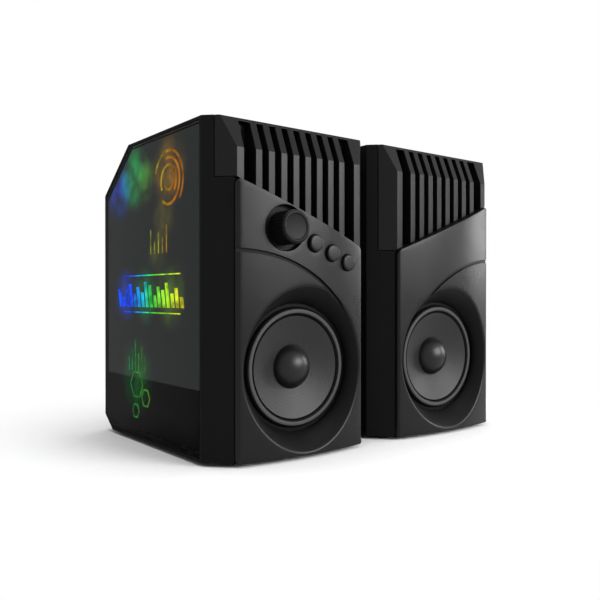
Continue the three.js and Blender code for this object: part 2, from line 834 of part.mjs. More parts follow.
function volumeKnob() {
  const back = dishFloor - dishGap;
  const flutes = Array.from({ length: 2 * knobFluteCount }, (_, k) => {
    const radius = knobRadius - (k % 2 ? knobFluteDepth : 0);
    const angle = (k * Math.PI) / knobFluteCount;
    return [knobOffset + radius * Math.cos(angle), knobHeight + radius * Math.sin(angle)];
  });
  const envelope = turned([
    [0, knobFront],
    [knobRadius - knobBevel, knobFront],
    [knobRadius + knobFluteDepth, knobFront + knobBevel],
    [knobRadius + knobFluteDepth, back],
    [0, back],
  ], knobOffset, knobHeight, 2 * knobFluteCount);
  const dimple = disc(knobRadius - knobRim, knobOffset, knobHeight, knobFront - overshoot,
    knobFront + knobFluteDepth, circle);
  const bore = disc(shaftRadius + clearance, knobOffset, knobHeight, knobFront + knobRoof,
    back + overshoot, smallCircle);
  return alongY(flutes, knobFront, back).intersect(envelope).subtract(dimple.add(bore));
}

// Potentiometer shaft with the flat that keys the knob.
function volumeShaft() {
  const from = knobFront + knobRoof + clearance;
  const shaft = disc(shaftRadius, knobOffset, knobHeight, from, potFront + shaftSeat, smallCircle);
  const flat = box(knobOffset - shaftRadius, knobOffset + shaftRadius, from - overshoot,
    dishFloor - dishGap, knobHeight + shaftRadius / 2, knobHeight + shaftRadius + overshoot);
  return shaft.subtract(flat);
}

function potentiometer() {
  const body = disc(potRadius, knobOffset, knobHeight, potFront, controlBoardDepth - clearance,
    hiddenCircle);
  const well = disc(shaftRadius + clearance, knobOffset, knobHeight, potFront - overshoot,
    potFront + shaftSeat + clearance, smallCircle);
  return body.subtract(well);
}

// Round cap guided by its hole, with a flange behind the baffle and a stem for its switch.
function pushButton([x, z]) {
  const surface = bowDepth(x);
  const wallBack = bowDepth(x + buttonRadius + buttonFlange) + baffleWall;
  const flange = wallBack + clearance;
  const stemEnd = controlBoardDepth - switchHeight - buttonTravel - clearance;
  const cap = turned([
    [0, surface - buttonProud],
    [buttonRadius - buttonBevel, surface - buttonProud],
    [buttonRadius, surface - buttonProud + buttonBevel],
    [buttonRadius, flange],
    [0, flange],
  ], x, z, hiddenCircle);
  const plate = disc(buttonRadius + buttonFlange, x, z, flange, flange + buttonFlangeThickness,
    hiddenCircle);
  const stem = disc(stemRadius, x, z, flange, stemEnd, smallCircle);
  return union([cap, plate, stem]);
}

// Board behind the control line, with a switch body for each button.
function controlBoard() {
  const start = boardPosts[0][0] - boardPostRadius;
  const end = buttonPlaces[buttonCount - 1][0] + switchSize;
  const tilt = new THREE.Vector2(Math.cos(slopeAngle), Math.sin(slopeAngle));
  const across = new THREE.Vector2(-tilt.y, tilt.x).multiplyScalar(controlBoardWidth / 2);
  const ends = [start, end].map((x) => new THREE.Vector2(x, controlHeight(x)));
  const outline = [
    ends[0].clone().sub(across),
    ends[1].clone().sub(across),
    ends[1].clone().add(across),
    ends[0].clone().add(across),
  ].map((point) => [point.x, point.y]);
  const board = alongY(outline, controlBoardDepth, controlBoardDepth + boardThickness);
  const half = switchSize / 2;
  const switches = buttonPlaces.map(([x, z]) =>
    box(x - half, x + half, controlBoardDepth - switchHeight, controlBoardDepth + boardThickness / 2,
      z - half, z + half));
  return union([board, ...switches]);
}

// ---------------------------------------------------------------- rear

const socketX = (k, count) => midWidth + (k - (count - 1) / 2) * socketPitch;
const amplifierBottom = socketHeight + amplifierRise;
const coverFront = rearFace + clearance;

const standoffs = [-1, 1].map((side) => [
  midWidth + side * (amplifierWidth / 2 - standoffInset),
  amplifierBottom + standoffInset,
]);

// Flush plate on the shell's ledge, with a recessed field round the sockets.
function rearCover(socketRadii) {
  const corners = (radius) => [radius, radius, radius, radius];
  const outline = rounded(inset(rearOpening, clearance), corners(coverCornerRadius), 3);
  let plate = alongY(outline, coverFront, cabinetDepth);
  if (socketRadii.length > 1) {
    const posts = standoffs.map(([x, z]) =>
      disc(standoffRadius, x, z, coverFront - standoffLength, coverFront + overshoot, smallCircle));
    plate = union([plate, ...posts]);
  }
  const half = ((socketRadii.length - 1) / 2) * socketPitch + socketFieldMargin;
  const field = rectangle(midWidth - half, socketHeight - socketFieldMargin, midWidth + half,
    socketHeight + socketFieldMargin);
  const recess = alongY(rounded(field, corners(socketFieldCorner), 3), cabinetDepth - socketFieldDepth,
    cabinetDepth + overshoot);
  const holes = socketRadii.map((radius, k) =>
    disc(radius + clearance, socketX(k, socketRadii.length), socketHeight, rearFace - overshoot,
      cabinetDepth + overshoot, hiddenCircle));
  return plate.subtract(union([recess, ...holes]));
}

// Round socket: a barrel through the cover, a shoulder inside it and a bore open to the back.
function socket(x, radius, boreRadius, pinRadius) {
  const back = cabinetDepth - clearance;
  const inside = rearFace - socketBodyDepth;
  const boreFloor = back - socketBoreDepth;
  const barrel = disc(radius, x, socketHeight, inside, back, hiddenCircle);
  const shoulder = disc(radius + socketShoulder, x, socketHeight, inside, rearFace, hiddenCircle);
  const bore = disc(boreRadius, x, socketHeight, boreFloor, back + overshoot, smallCircle);
  const shell = barrel.add(shoulder).subtract(bore);
  if (!pinRadius) return shell;
  return shell.add(disc(pinRadius, x, socketHeight, boreFloor - overshoot, back - overshoot, smallCircle));
}

// Amplifier board on the cover's posts, with its heatsink and capacitors.
function amplifier() {
  const back = coverFront - standoffLength - clearance;
  const front = back - boardThickness;
  const seat = front + boardThickness / 2;
  const half = amplifierWidth / 2;
  const board = box(midWidth - half, midWidth + half, front, back, amplifierBottom,
    amplifierBottom + amplifierHeight);
  const sinkTop = amplifierBottom + amplifierHeight - standoffInset;
  const sinkBottom = sinkTop - heatsinkHeight;
  const sinkLeft = midWidth - heatsinkWidth / 2;
  const sinkBase = box(sinkLeft, sinkLeft + heatsinkWidth, front - heatsinkBase, seat, sinkBottom,
    sinkTop);
  const pitch = (heatsinkWidth - heatsinkFinThickness) / (heatsinkFinCount - 1);
  const sinkFins = Array.from({ length: heatsinkFinCount }, (_, k) => {
    const left = sinkLeft + k * pitch;
    return box(left, left + heatsinkFinThickness, front - heatsinkDepth, front - heatsinkBase / 2,
      sinkBottom, sinkTop);
  });
  const canOffset = (half + heatsinkWidth / 2) / 2;
  const cans = [-1, 1].map((side) =>
    disc(capacitorRadius, midWidth + side * canOffset, (sinkTop + sinkBottom) / 2,
      front - heatsinkDepth, seat, smallCircle));
  return union([board, sinkBase, ...sinkFins, ...cans]);
}

// ---------------------------------------------------------------- materials

const finish = (color, roughness, metalness = 0) =>
  new THREE.MeshStandardMaterial({ color, roughness, metalness, flatShading: true });

const finishes = {
  shell: finish(0x232325, 0.55),
  baffle: finish(0x3f3f41, 0.45),
  fins: finish(0x505052, 0.5),
  smoked: finish(0x2a2a2d, 0.12),
  guide: finish(0x7fbf9a, 0.3),
  board: finish(0x1f5a36, 0.6),
  inner: finish(0x1a1a1c, 0.7),
  rubber: finish(0x4a4a4c, 0.6),
  cone: finish(0x4c4c4e, 0.75),
  cap: finish(0x2c2c2e, 0.35),
  coil: finish(0xb26a3a, 0.35, 0.9),
  cloth: finish(0xa8793c, 0.9),
  steel: finish(0x8c8f92, 0.35, 0.9),
  ferrite: finish(0x2a2a2c, 0.8),
  foam: finish(0x202022, 0.95),
  foot: finish(0x151516, 0.9),
  knob: finish(0x37373a, 0.4),
  button: finish(0x39393c, 0.4),
};

// ---------------------------------------------------------------- assembly

// Every piece of one cabinet as [name, solid, finish].
function cabinetPieces(hasControls) {
  const socketRadii = hasControls ? [inletRadius, jackRadius, jackRadius] : [jackRadius];
  const pieces = [
    ["cabinet", cabinetShell(), finishes.shell],
    ["side_window", sideWindow(), finishes.smoked],
    ["light_guide", lightGuide(), finishes.guide],
    ["led_strip", ledStrip(), finishes.board],
    ["bulkhead", bulkhead(), finishes.inner],
    ["front_baffle", frontBaffle(hasControls), finishes.baffle],
    ["fin_grille", finGrille(), finishes.fins],
    ["rear_cover", rearCover(socketRadii), finishes.shell],
    ["driver_gasket", driverGasket(), finishes.foam],
    ["driver_frame", driverFrame(), finishes.steel],
    ["driver_surround", driverSurround(), finishes.rubber],
    ["driver_cone", driverCone(), finishes.cone],
    ["dust_cap", dustCap(), finishes.cap],
    ["voice_coil", voiceCoil(), finishes.coil],
    ["driver_spider", spider(), finishes.cloth],
    ["driver_magnet", driverMagnet(), finishes.ferrite],
    ["driver_yoke", driverYoke(), finishes.steel],
    ...footPlaces.map((place, k) => [`foot_${k + 1}`, foot(place), finishes.foot]),
  ];
  if (!hasControls) {
    pieces.push(["input_socket", socket(socketX(0, 1), jackRadius, jackBoreRadius), finishes.steel]);
    return pieces;
  }
  const powerInlet = socket(socketX(0, 3), inletRadius, inletBoreRadius, inletPinRadius);
  pieces.push(
    ["volume_knob", volumeKnob(), finishes.knob],
    ["volume_shaft", volumeShaft(), finishes.steel],
    ["volume_pot", potentiometer(), finishes.inner],
    ...buttonPlaces.map((place, k) => [`button_${k + 1}`, pushButton(place), finishes.button]),
    ["control_board", controlBoard(), finishes.board],
    ["amplifier_board", amplifier(), finishes.board],
    ["power_inlet", powerInlet, finishes.inner],
    ["audio_socket", socket(socketX(1, 3), jackRadius, jackBoreRadius), finishes.steel],
    ["satellite_socket", socket(socketX(2, 3), jackRadius, jackBoreRadius), finishes.steel],
  );
  return pieces;
}

function meshOf(name, body, material) {
  const { vertProperties, triVerts } = body.getMesh();
  const geometry = new THREE.BufferGeometry();
  geometry.setAttribute("position", new THREE.BufferAttribute(vertProperties, 3));
  geometry.setIndex(new THREE.BufferAttribute(triVerts, 1));
  geometry.computeVertexNormals();
  const mesh = new THREE.Mesh(geometry, material);
  mesh.name = name;
  return mesh;
}

function cabinet(prefix, hasControls) {
  const group = new THREE.Group();
  for (const [name, body, material] of cabinetPieces(hasControls))
    group.add(meshOf(`${prefix}_${name}`, body, material));
  return group;
}

// The pair stands on the floor, centred on the origin between its knob's front and its backs.
const halfPair = cabinetWidth + cabinetGap / 2;
const centring = -(knobFront + cabinetDepth) / 2;

const main = cabinet("main", true);
main.position.set(-halfPair, centring, 0);

const satellite = cabinet("satellite", false);
satellite.scale.x = -1;
satellite.position.set(halfPair, centring, 0);

const speakers = new THREE.Group();
speakers.add(main, satellite);

export default speakers;
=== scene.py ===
import json
import math

import bmesh
import bpy
import numpy as np
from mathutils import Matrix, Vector
from mathutils.geometry import delaunay_2d_cdt

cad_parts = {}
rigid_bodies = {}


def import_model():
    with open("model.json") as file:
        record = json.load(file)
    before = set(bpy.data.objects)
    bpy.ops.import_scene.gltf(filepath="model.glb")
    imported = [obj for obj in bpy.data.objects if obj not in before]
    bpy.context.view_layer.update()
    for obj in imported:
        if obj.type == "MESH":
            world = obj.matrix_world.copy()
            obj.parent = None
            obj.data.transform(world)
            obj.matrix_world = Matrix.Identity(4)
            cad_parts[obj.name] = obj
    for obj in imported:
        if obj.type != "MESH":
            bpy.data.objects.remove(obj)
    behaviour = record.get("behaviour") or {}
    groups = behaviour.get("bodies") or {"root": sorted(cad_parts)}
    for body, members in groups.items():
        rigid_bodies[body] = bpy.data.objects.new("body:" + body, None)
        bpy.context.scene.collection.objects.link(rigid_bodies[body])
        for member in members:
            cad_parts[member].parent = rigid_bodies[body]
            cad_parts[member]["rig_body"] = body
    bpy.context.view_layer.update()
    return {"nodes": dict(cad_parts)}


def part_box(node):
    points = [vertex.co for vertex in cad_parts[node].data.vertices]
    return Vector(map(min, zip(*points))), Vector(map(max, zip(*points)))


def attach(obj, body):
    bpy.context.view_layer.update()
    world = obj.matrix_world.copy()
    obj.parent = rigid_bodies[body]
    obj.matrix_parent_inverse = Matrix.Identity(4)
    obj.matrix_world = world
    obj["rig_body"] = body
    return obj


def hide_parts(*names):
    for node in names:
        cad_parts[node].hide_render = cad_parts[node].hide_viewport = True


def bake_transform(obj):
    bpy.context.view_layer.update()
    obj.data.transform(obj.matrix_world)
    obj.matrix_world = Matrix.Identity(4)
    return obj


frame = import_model()

# Everything is in metres. Sizes are given on one cabinet, with x from its outer side, y back from the
# front plane of its fins and z from the floor; the satellite is the same cabinet mirrored.

# ------------------------------------------------------------------ cabinets
# The shells are injection-moulded black ABS with a fine spark-eroded texture, and carry every other
# piece. Their edges are slightly rounded by the mould.

SIDES = ("main", "satellite")
MM = 0.001
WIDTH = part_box("main_cabinet")[1].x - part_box("main_cabinet")[0].x
FIN_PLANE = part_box("main_fin_grille")[0].y
OUTER_SIDE = {"main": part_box("main_cabinet")[0].x, "satellite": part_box("satellite_cabinet")[1].x}
INWARD = {"main": 1, "satellite": -1}
# Corners nearer than DOUBLES are merged. Turns are in degrees: faces that turn less than FLAT_TURN are
# joined, and an edge shades sharp past SHADE_TURN on a CAD copy, CUT_TURN on a new or cut piece and
# ROUND_TURN on a round one.
DOUBLES = 1e-6
FLAT_TURN = 0.3
SHADE_TURN = 32
CUT_TURN = 30
ROUND_TURN = 50


def sharpen(mesh, degrees):
    """Smooth shading, apart from edges where the surface turns by more than an angle."""
    mesh.shade_smooth()
    mesh.set_sharp_from_angle(angle=math.radians(degrees))


def finished_copy(node, name, material, width, turn=25):
    """A CAD node's own surface, its doubles merged and flat triangles joined, then each edge that turns
    by more than an angle rounded over a width."""
    mesh = frame["nodes"][node].data.copy()
    mesh.name = name
    shape = bmesh.new()
    shape.from_mesh(mesh)
    bmesh.ops.remove_doubles(shape, verts=shape.verts, dist=DOUBLES)
    bmesh.ops.dissolve_limit(
        shape, angle_limit=math.radians(FLAT_TURN), verts=shape.verts, edges=shape.edges
    )
    shape.to_mesh(mesh)
    shape.free()
    mesh.materials.clear()
    mesh.materials.append(material)
    piece = bpy.data.objects.new(name, mesh)
    bpy.context.scene.collection.objects.link(piece)
    bevel = piece.modifiers.new("softened edges", "BEVEL")
    bevel.width = width
    bevel.segments = 2
    bevel.limit_method = "ANGLE"
    bevel.angle_limit = math.radians(turn)
    bevel.loop_slide = False
    bpy.context.view_layer.objects.active = piece
    bpy.ops.object.modifier_apply(modifier=bevel.name)
    sharpen(mesh, SHADE_TURN)
    weighted = piece.modifiers.new("flat faces stay flat", "WEIGHTED_NORMAL")
    weighted.keep_sharp = True
    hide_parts(node)
    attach(piece, frame["nodes"][node]["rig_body"])
    return piece


def node_group(name, sockets):
    """An empty node group with the given ("in" or "out", kind, name, value) sockets."""
    group = bpy.data.node_groups.new(name, "ShaderNodeTree")
    for direction, kind, title, value in sockets:
        way = "INPUT" if direction == "in" else "OUTPUT"
        socket = group.interface.new_socket(title, in_out=way, socket_type=f"NodeSocket{kind}")
        if value is not None:
            socket.default_value = value
    entry = group.nodes.new("NodeGroupInput")
    result = group.nodes.new("NodeGroupOutput")
    return group, entry, result


def fill(tree, node, **sockets):
    """Fills a node's inputs, each named in_NAME or in_NUMBER, with values or links."""
    for key, value in sockets.items():
        label = key[3:].replace("_", " ")
        socket = node.inputs[int(label)] if label.isdigit() else node.inputs[label]
        if isinstance(value, bpy.types.NodeSocket):
            tree.links.new(value, socket)
        else:
            socket.default_value = value


def add_node(tree, kind, **settings):
    """A shader node with its own settings, and its inputs filled."""
    node = tree.nodes.new(f"ShaderNode{kind}")
    inputs = {key: value for key, value in settings.items() if key.startswith("in_")}
    for key, value in settings.items():
        if key not in inputs:
            setattr(node, key, value)
    fill(tree, node, **inputs)
    return node


def build_moulded_texture():
    """Spark-eroded mould texture: fine noise is the grain's height and also sets the colour, a little
    lighter on its tops than in its hollows as a painted shade, and broad noise changes the sheen."""
    group, entry, result = node_group("moulded texture", [
        ("in", "Color", "Color", (0.02, 0.02, 0.02, 1)),
        ("in", "Float", "Grain per metre", 2600.0),
        ("in", "Float", "Roughness", 0.45),
        ("in", "Float", "Roughness change", 0.08),
        ("out", "Color", "Color", None),
        ("out", "Float", "Roughness", None),
        ("out", "Float", "Height", None),
    ])
    place = add_node(group, "TexCoord").outputs["Object"]
    grain = add_node(group, "TexNoise", in_Vector=place, in_Scale=entry.outputs["Grain per metre"],
                     in_Detail=3.0, in_Roughness=0.6)
    broad = add_node(group, "TexNoise", in_Vector=place, in_Scale=38.0, in_Detail=4.0)
    change = add_node(group, "MapRange", in_Value=broad.outputs["Fac"], in_1=0.3, in_2=0.7,
                      in_3=-0.5, in_4=0.5)
    amount = add_node(group, "Math", operation="MULTIPLY_ADD", in_0=change.outputs["Result"],
                      in_1=entry.outputs["Roughness change"], in_2=entry.outputs["Roughness"])
    # Painted shade: the grain's hollows are a little darker than its tops.
    painted_grain_shade = add_node(group, "MapRange", in_Value=grain.outputs["Fac"], in_1=0.3, in_2=0.75,
                       in_3=0.9, in_4=1.14)
    shade = add_node(group, "VectorMath", operation="SCALE", in_0=entry.outputs["Color"],
                     in_Scale=painted_grain_shade.outputs["Result"])
    fill(group, result, in_Color=shade.outputs[0], in_Roughness=amount.outputs[0],
         in_Height=grain.outputs["Fac"])
    return group


moulded_texture = build_moulded_texture()


def new_material(name):
    """A material with its shader, and the tree to add to."""
    material = bpy.data.materials.new(name)
    material.use_nodes = True
    return material, material.node_tree, material.node_tree.nodes["Principled BSDF"]


def srgb(value):
    """Linear value of a display level from 0 to 1."""
    return value / 12.92 if value <= 0.04045 else ((value + 0.055) / 1.055) ** 2.4


def grey(level):
    """Linear colour of a display grey from 0 to 255."""
    base = srgb(level / 255)
    return (base, base, base, 1)


def moulded_plastic(name, color, roughness, change=0.08, grain=2600.0, depth=0.00002, specular=0.5):
    """Moulded plastic: the texture group drives colour, roughness and a shallow bump."""
    material, tree, shader = new_material(name)
    texture = add_node(tree, "Group", node_tree=moulded_texture, in_Color=color,
                       in_Grain_per_metre=grain, in_Roughness=roughness, in_Roughness_change=change)
    bump = add_node(tree, "Bump", in_Distance=depth, in_Height=texture.outputs["Height"])
    fill(tree, shader, in_Base_Color=texture.outputs["Color"], in_Roughness=texture.outputs["Roughness"],
         in_Normal=bump.outputs["Normal"], in_Specular_IOR_Level=specular)
    return material


shell_plastic = moulded_plastic("shell_plastic", grey(20), 0.7, specular=0.03)
for side in SIDES:
    shell = finished_copy(f"{side}_cabinet", f"{side}_shell", shell_plastic, 0.4 * MM)

# ------------------------------------------------------------------ side windows and light guides
# Polished, smoked polycarbonate panes, flush in the shell's outer side. Behind each one an acrylic
# light guide, lit along its lower edge, carries an etched pattern that glows through the pane.

GUIDE_LOW, GUIDE_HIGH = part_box("main_light_guide")
MASK_TOP = 38 * MM
MASK_FADE = 0.4 * MM
HAZE = (0.9, 1.0, 0.92)
MARK_FRONT = 2.62 * MM
MARK_BACK = 2.74 * MM
DARK = (0.01, 0.01, 0.01, 1)
BLUE, CYAN, GREEN = (0.0, 0.07, 1.0), (0.0, 0.45, 0.8), (0.02, 0.75, 0.05)
LIME, YELLOW, ORANGE = (0.35, 0.8, 0.02), (0.8, 0.7, 0.02), (0.95, 0.3, 0.01)
# The etched marks in millimetres, y behind the fins. A ring is its radius, with its start and sweep in
# degrees; a cell is its y, z and radius; bars and ticks are the heights in a row.
BAR_HEIGHTS = (6, 11, 8, 14, 10, 12, 7, 13, 15, 9, 12, 8, 14, 10, 6, 11)
BAND_LINES = (77.5, 99.5)
BAND_REACH = (40, 114)
BAND_LINE_WIDTH = 0.7
RINGS = ((17, 20, 200), (13, 75, 230), (9, -30, 250), (5, 110, 220))
RING_HALF_WIDTH = 0.75
RING_TICKS = (16, 9, 12, 7, 14)
CELLS = ((96, 34, 9), (83.5, 27, 6), (97, 18, 5))
CELL_WIDTH = 1.1
CELL_TICKS = (9, 15, 11, 19, 13, 8)
# Patches of leaked light: y behind the fins, z and radius in millimetres, and colour.
GLOW_PATCHES = (
    (122, 156, 24, (0.0, 0.12, 1.2)),
    (100, 160, 24, (0.0, 1.0, 0.2)),
    (84, 156, 16, (0.2, 0.6, 0.02)),
    (54, 158, 24, (0.75, 0.4, 0.02)),
    (60, 132, 16, (0.3, 0.24, 0.02)),
    (68, 112, 16, (0.14, 0.16, 0.02)),
    (112, 88, 20, (0.0, 0.08, 1.0)),
    (84, 88, 20, (0.0, 0.45, 0.1)),
    (52, 88, 22, (0.2, 0.4, 0.02)),
    (96, 40, 26, (0.0, 0.3, 0.04)),
)


def smoked_polycarbonate():
    """Dark clear plastic, its gloss broken only by faint broad smudges."""
    material, tree, shader = new_material("smoked_polycarbonate")
    place = add_node(tree, "TexCoord").outputs["Object"]
    smudge = add_node(tree, "TexNoise", in_Vector=place, in_Scale=30.0, in_Detail=5.0)
    polish = add_node(tree, "MapRange", in_Value=smudge.outputs["Fac"], in_1=0.35, in_2=0.7,
                      in_3=0.05, in_4=0.1)
    fill(tree, shader, in_Base_Color=(0.10, 0.10, 0.104, 1), in_Roughness=polish.outputs["Result"],
         in_Transmission_Weight=1.0, in_IOR=1.06)
    return material


def color_stops(ramp, stops):
    """Fills a colour ramp with (position, colour) stops."""
    elements = ramp.color_ramp.elements
    while len(elements) < len(stops):
        elements.new(0.5)
    for element, (position, color) in zip(elements, stops):
        element.position = position
        element.color = (*color, 1)


def lit_marks(name, strength, stops):
    """Etched marks lit by coloured diodes: the colour runs along the pane from its rear to its front,
    and each mark is a little brighter in patches."""
    material, tree, shader = new_material(name)
    place = add_node(tree, "TexCoord").outputs["Object"]
    axes = add_node(tree, "SeparateXYZ", in_Vector=place)
    along = add_node(tree, "MapRange", in_Value=axes.outputs["Y"], in_1=GUIDE_HIGH.y, in_2=GUIDE_LOW.y)
    ramp = add_node(tree, "ValToRGB", in_Fac=along.outputs["Result"])
    color_stops(ramp, stops)
    patches = add_node(tree, "TexNoise", in_Vector=place, in_Scale=160.0)
    glow = add_node(tree, "MapRange", in_Value=patches.outputs["Fac"], in_1=0.35, in_2=0.65,
                    in_3=0.3, in_4=1.0)
    tint = add_node(tree, "VectorMath", operation="SCALE", in_0=ramp.outputs["Color"],
                    in_Scale=glow.outputs["Result"])
    fill(tree, shader, in_Base_Color=DARK, in_Emission_Color=tint.outputs[0],
         in_Emission_Strength=strength)
    return material


def build_glow_patch():
    """A soft round patch of light that leaks out of the guide: strongest at its centre, broken up by
    noise, and gone at its radius."""
    group, entry, result = node_group("glow patch", [
        ("in", "Vector", "Place", None),
        ("in", "Vector", "Centre", (0, 0, 0)),
        ("in", "Float", "Radius", 0.02),
        ("in", "Color", "Color", (0, 1, 0, 1)),
        ("out", "Color", "Color", None),
    ])
    away = add_node(group, "VectorMath", operation="DISTANCE", in_0=entry.outputs["Place"],
                    in_1=entry.outputs["Centre"])
    share = add_node(group, "Math", operation="DIVIDE", in_0=away.outputs["Value"],
                     in_1=entry.outputs["Radius"])
    near = add_node(group, "MapRange", in_Value=share.outputs[0], in_1=1.0, in_2=0.1,
                    interpolation_type="SMOOTHSTEP")
    noise = add_node(group, "TexNoise", in_Vector=entry.outputs["Place"], in_Scale=70.0, in_Detail=3.0)
    broken = add_node(group, "MapRange", in_Value=noise.outputs["Fac"], in_1=0.35, in_2=0.7,
                      in_3=0.15, in_4=1.0)
    amount = add_node(group, "Math", operation="MULTIPLY", in_0=near.outputs["Result"],
                      in_1=broken.outputs["Result"])
    tint = add_node(group, "VectorMath", operation="SCALE", in_0=entry.outputs["Color"],
                    in_Scale=amount.outputs[0])
    fill(group, result, in_Color=tint.outputs[0])
    return group


def edge_lit_acrylic():
    """Smooth acrylic that glows faintly above its masked lower band, and the sum of the patches."""
    material, tree, shader = new_material("guide_acrylic")
    place = add_node(tree, "TexCoord").outputs["Object"]
    flat = add_node(tree, "VectorMath", operation="MULTIPLY", in_0=place, in_1=(0, 1, 1))
    height = add_node(tree, "SeparateXYZ", in_Vector=place)
    haze = add_node(tree, "MapRange", in_Value=height.outputs["Z"], in_1=MASK_TOP,
                    in_2=MASK_TOP + MASK_FADE, in_3=0.0, in_4=0.08)
    total = add_node(tree, "VectorMath", operation="SCALE", in_0=HAZE,
                     in_Scale=haze.outputs["Result"]).outputs[0]
    glow_patch = build_glow_patch()
    for y, z, radius, color in GLOW_PATCHES:
        patch = add_node(tree, "Group", node_tree=glow_patch, in_Place=flat.outputs[0],
                         in_Centre=(0, FIN_PLANE + y * MM, z * MM), in_Radius=radius * MM,
                         in_Color=(*color, 1))
        both = add_node(tree, "VectorMath", operation="ADD", in_0=total, in_1=patch.outputs[0])
        total = both.outputs[0]
    fill(tree, shader, in_Base_Color=DARK, in_Roughness=0.2, in_Emission_Color=total,
         in_Emission_Strength=3.0)
    return material


def place_on(side, points):
    """From one cabinet's coordinates to the pair's; the satellite's x runs the other way."""
    shift = np.array([OUTER_SIDE[side], FIN_PLANE, 0.0])
    return points * np.array([INWARD[side], 1, 1]) + shift


def surface(grid, round_u=False, round_v=False):
    """Corners and quads of an (m, n, 3) grid of points. A round direction joins its end to its start."""
    m, n = grid.shape[:2]
    i = np.arange(m if round_u else m - 1)[:, None]
    j = np.arange(n if round_v else n - 1)[None, :]
    after_i, after_j = (i + 1) % m, (j + 1) % n
    quads = np.broadcast_arrays(i * n + j, i * n + after_j, after_i * n + after_j, after_i * n + j)
    return grid.reshape(-1, 3), np.stack(quads, -1).reshape(-1, 4)


def closed_bar(grid):
    """The skin of a bar from a (4, n, 3) grid: four long lines, joined round, and both end faces."""
    count = grid.shape[1]
    sides = surface(grid, round_u=True)
    ends = np.array([[k * count + end for k in range(4)] for end in (0, count - 1)])
    return [sides, (sides[0], ends)]


def add_piece(side, name, surfaces, material, body, turn=CUT_TURN):
    """One object from several (corners, faces) surfaces, welded where they meet, facing outwards. It
    rides on a body, or on none."""
    corners, faces, count = [], [], 0
    for points, polygons in surfaces:
        corners.append(place_on(side, points))
        faces.extend((np.asarray(polygons) + count).tolist())
        count += len(points)
    mesh = bpy.data.meshes.new(name)
    mesh.from_pydata(np.concatenate(corners), [], faces)
    shape = bmesh.new()
    shape.from_mesh(mesh)
    bmesh.ops.remove_doubles(shape, verts=shape.verts, dist=2 * DOUBLES)
    bmesh.ops.recalc_face_normals(shape, faces=shape.faces)
    shape.to_mesh(mesh)
    shape.free()
    sharpen(mesh, turn)
    mesh.materials.append(material)
    piece = bpy.data.objects.new(name, mesh)
    bpy.context.scene.collection.objects.link(piece)
    if body:
        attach(piece, body)
    return piece


def flat_mark(inner, outer):
    """A raised mark between two lines of (y, z) points: four lines carried across its thickness."""
    ring = np.stack([inner, outer, outer, inner])
    depth = np.array([MARK_FRONT, MARK_FRONT, MARK_BACK, MARK_BACK])[:, None, None]
    return closed_bar(np.concatenate([np.broadcast_to(depth, (*ring.shape[:2], 1)), ring], -1))


def row_of_bars(y, z, pitch, width, heights, lean=0.0):
    """Bars of the given heights on one base line, each top carried along by lean times its height."""
    marks = []
    for k, height in enumerate(heights):
        low = np.array([y + pitch * k, z])
        line = np.stack([low, low + np.array([lean * height, height])]) * MM
        marks += flat_mark(line, line + np.array([width, 0.0]) * MM)
    return marks


def arc_mark(y, z, inner, outer, start, sweep, count):
    """Part of a ring between two radii; few points make it a frame with straight sides."""
    turn = np.radians(start) + np.linspace(0, np.radians(sweep), count)
    ray = np.stack([np.cos(turn), np.sin(turn)], -1)
    centre = np.array([y, z])
    return flat_mark((centre + ray * inner) * MM, (centre + ray * outer) * MM)


def bar_marks():
    """A band of leaning bars across the middle, between two thin lines."""
    marks = row_of_bars(y=36, z=81, pitch=5.4, width=3.6, heights=BAR_HEIGHTS, lean=0.2)
    for height in BAND_LINES:
        line = np.array([(y, height) for y in BAND_REACH]) * MM
        marks += flat_mark(line, line + np.array([0, BAND_LINE_WIDTH]) * MM)
    return marks


def ring_marks():
    """Part rings one inside another, and upright ticks below them."""
    marks = []
    for radius, start, sweep in RINGS:
        inner, outer = radius - RING_HALF_WIDTH, radius + RING_HALF_WIDTH
        marks += arc_mark(54, 152, inner, outer, start, sweep, count=40)
    return marks + row_of_bars(y=56, z=112, pitch=5, width=1, heights=RING_TICKS)


def cell_marks():
    """Six-sided cells, with upright ticks that rise out of them."""
    marks = []
    for y, z, radius in CELLS:
        marks += arc_mark(y, z, radius - CELL_WIDTH, radius, start=0, sweep=360, count=7)
    return marks + row_of_bars(y=84, z=42, pitch=4.4, width=1, heights=CELL_TICKS)


# Each kind of mark has its shapes, and the strength and colours of its light from rear to front.
MARKS = {
    "bars": (bar_marks, lit_marks("bar_light", 13.0, [
        (0.0, BLUE), (0.3, BLUE), (0.42, CYAN), (0.52, GREEN), (0.68, LIME), (0.85, YELLOW),
    ])),
    "rings": (ring_marks, lit_marks("ring_light", 5.0, [(0.4, LIME), (0.6, YELLOW), (0.75, ORANGE)])),
    "cells": (cell_marks, lit_marks("cell_light", 3.5, [(0.0, CYAN), (0.35, GREEN), (0.6, LIME)])),
}
window_plastic = smoked_polycarbonate()
guide_acrylic = edge_lit_acrylic()
for side in SIDES:
    window = finished_copy(f"{side}_side_window", f"{side}_window", window_plastic, 0.35 * MM)
    guide = frame["nodes"][f"{side}_light_guide"]
    guide.data.materials.clear()
    guide.data.materials.append(guide_acrylic)
    for kind, (marks, material) in MARKS.items():
        add_piece(side, f"{side}_lit_{kind}", marks(), material, "pair")

# ------------------------------------------------------------------ front baffles
# Satin charcoal ABS mouldings that lap the shells' front flanges, bowed forwards, with every edge
# rounded. A groove sweeps down to the flared scoop round the driver, and the main one has a dish for
# the knob and holes for the buttons.

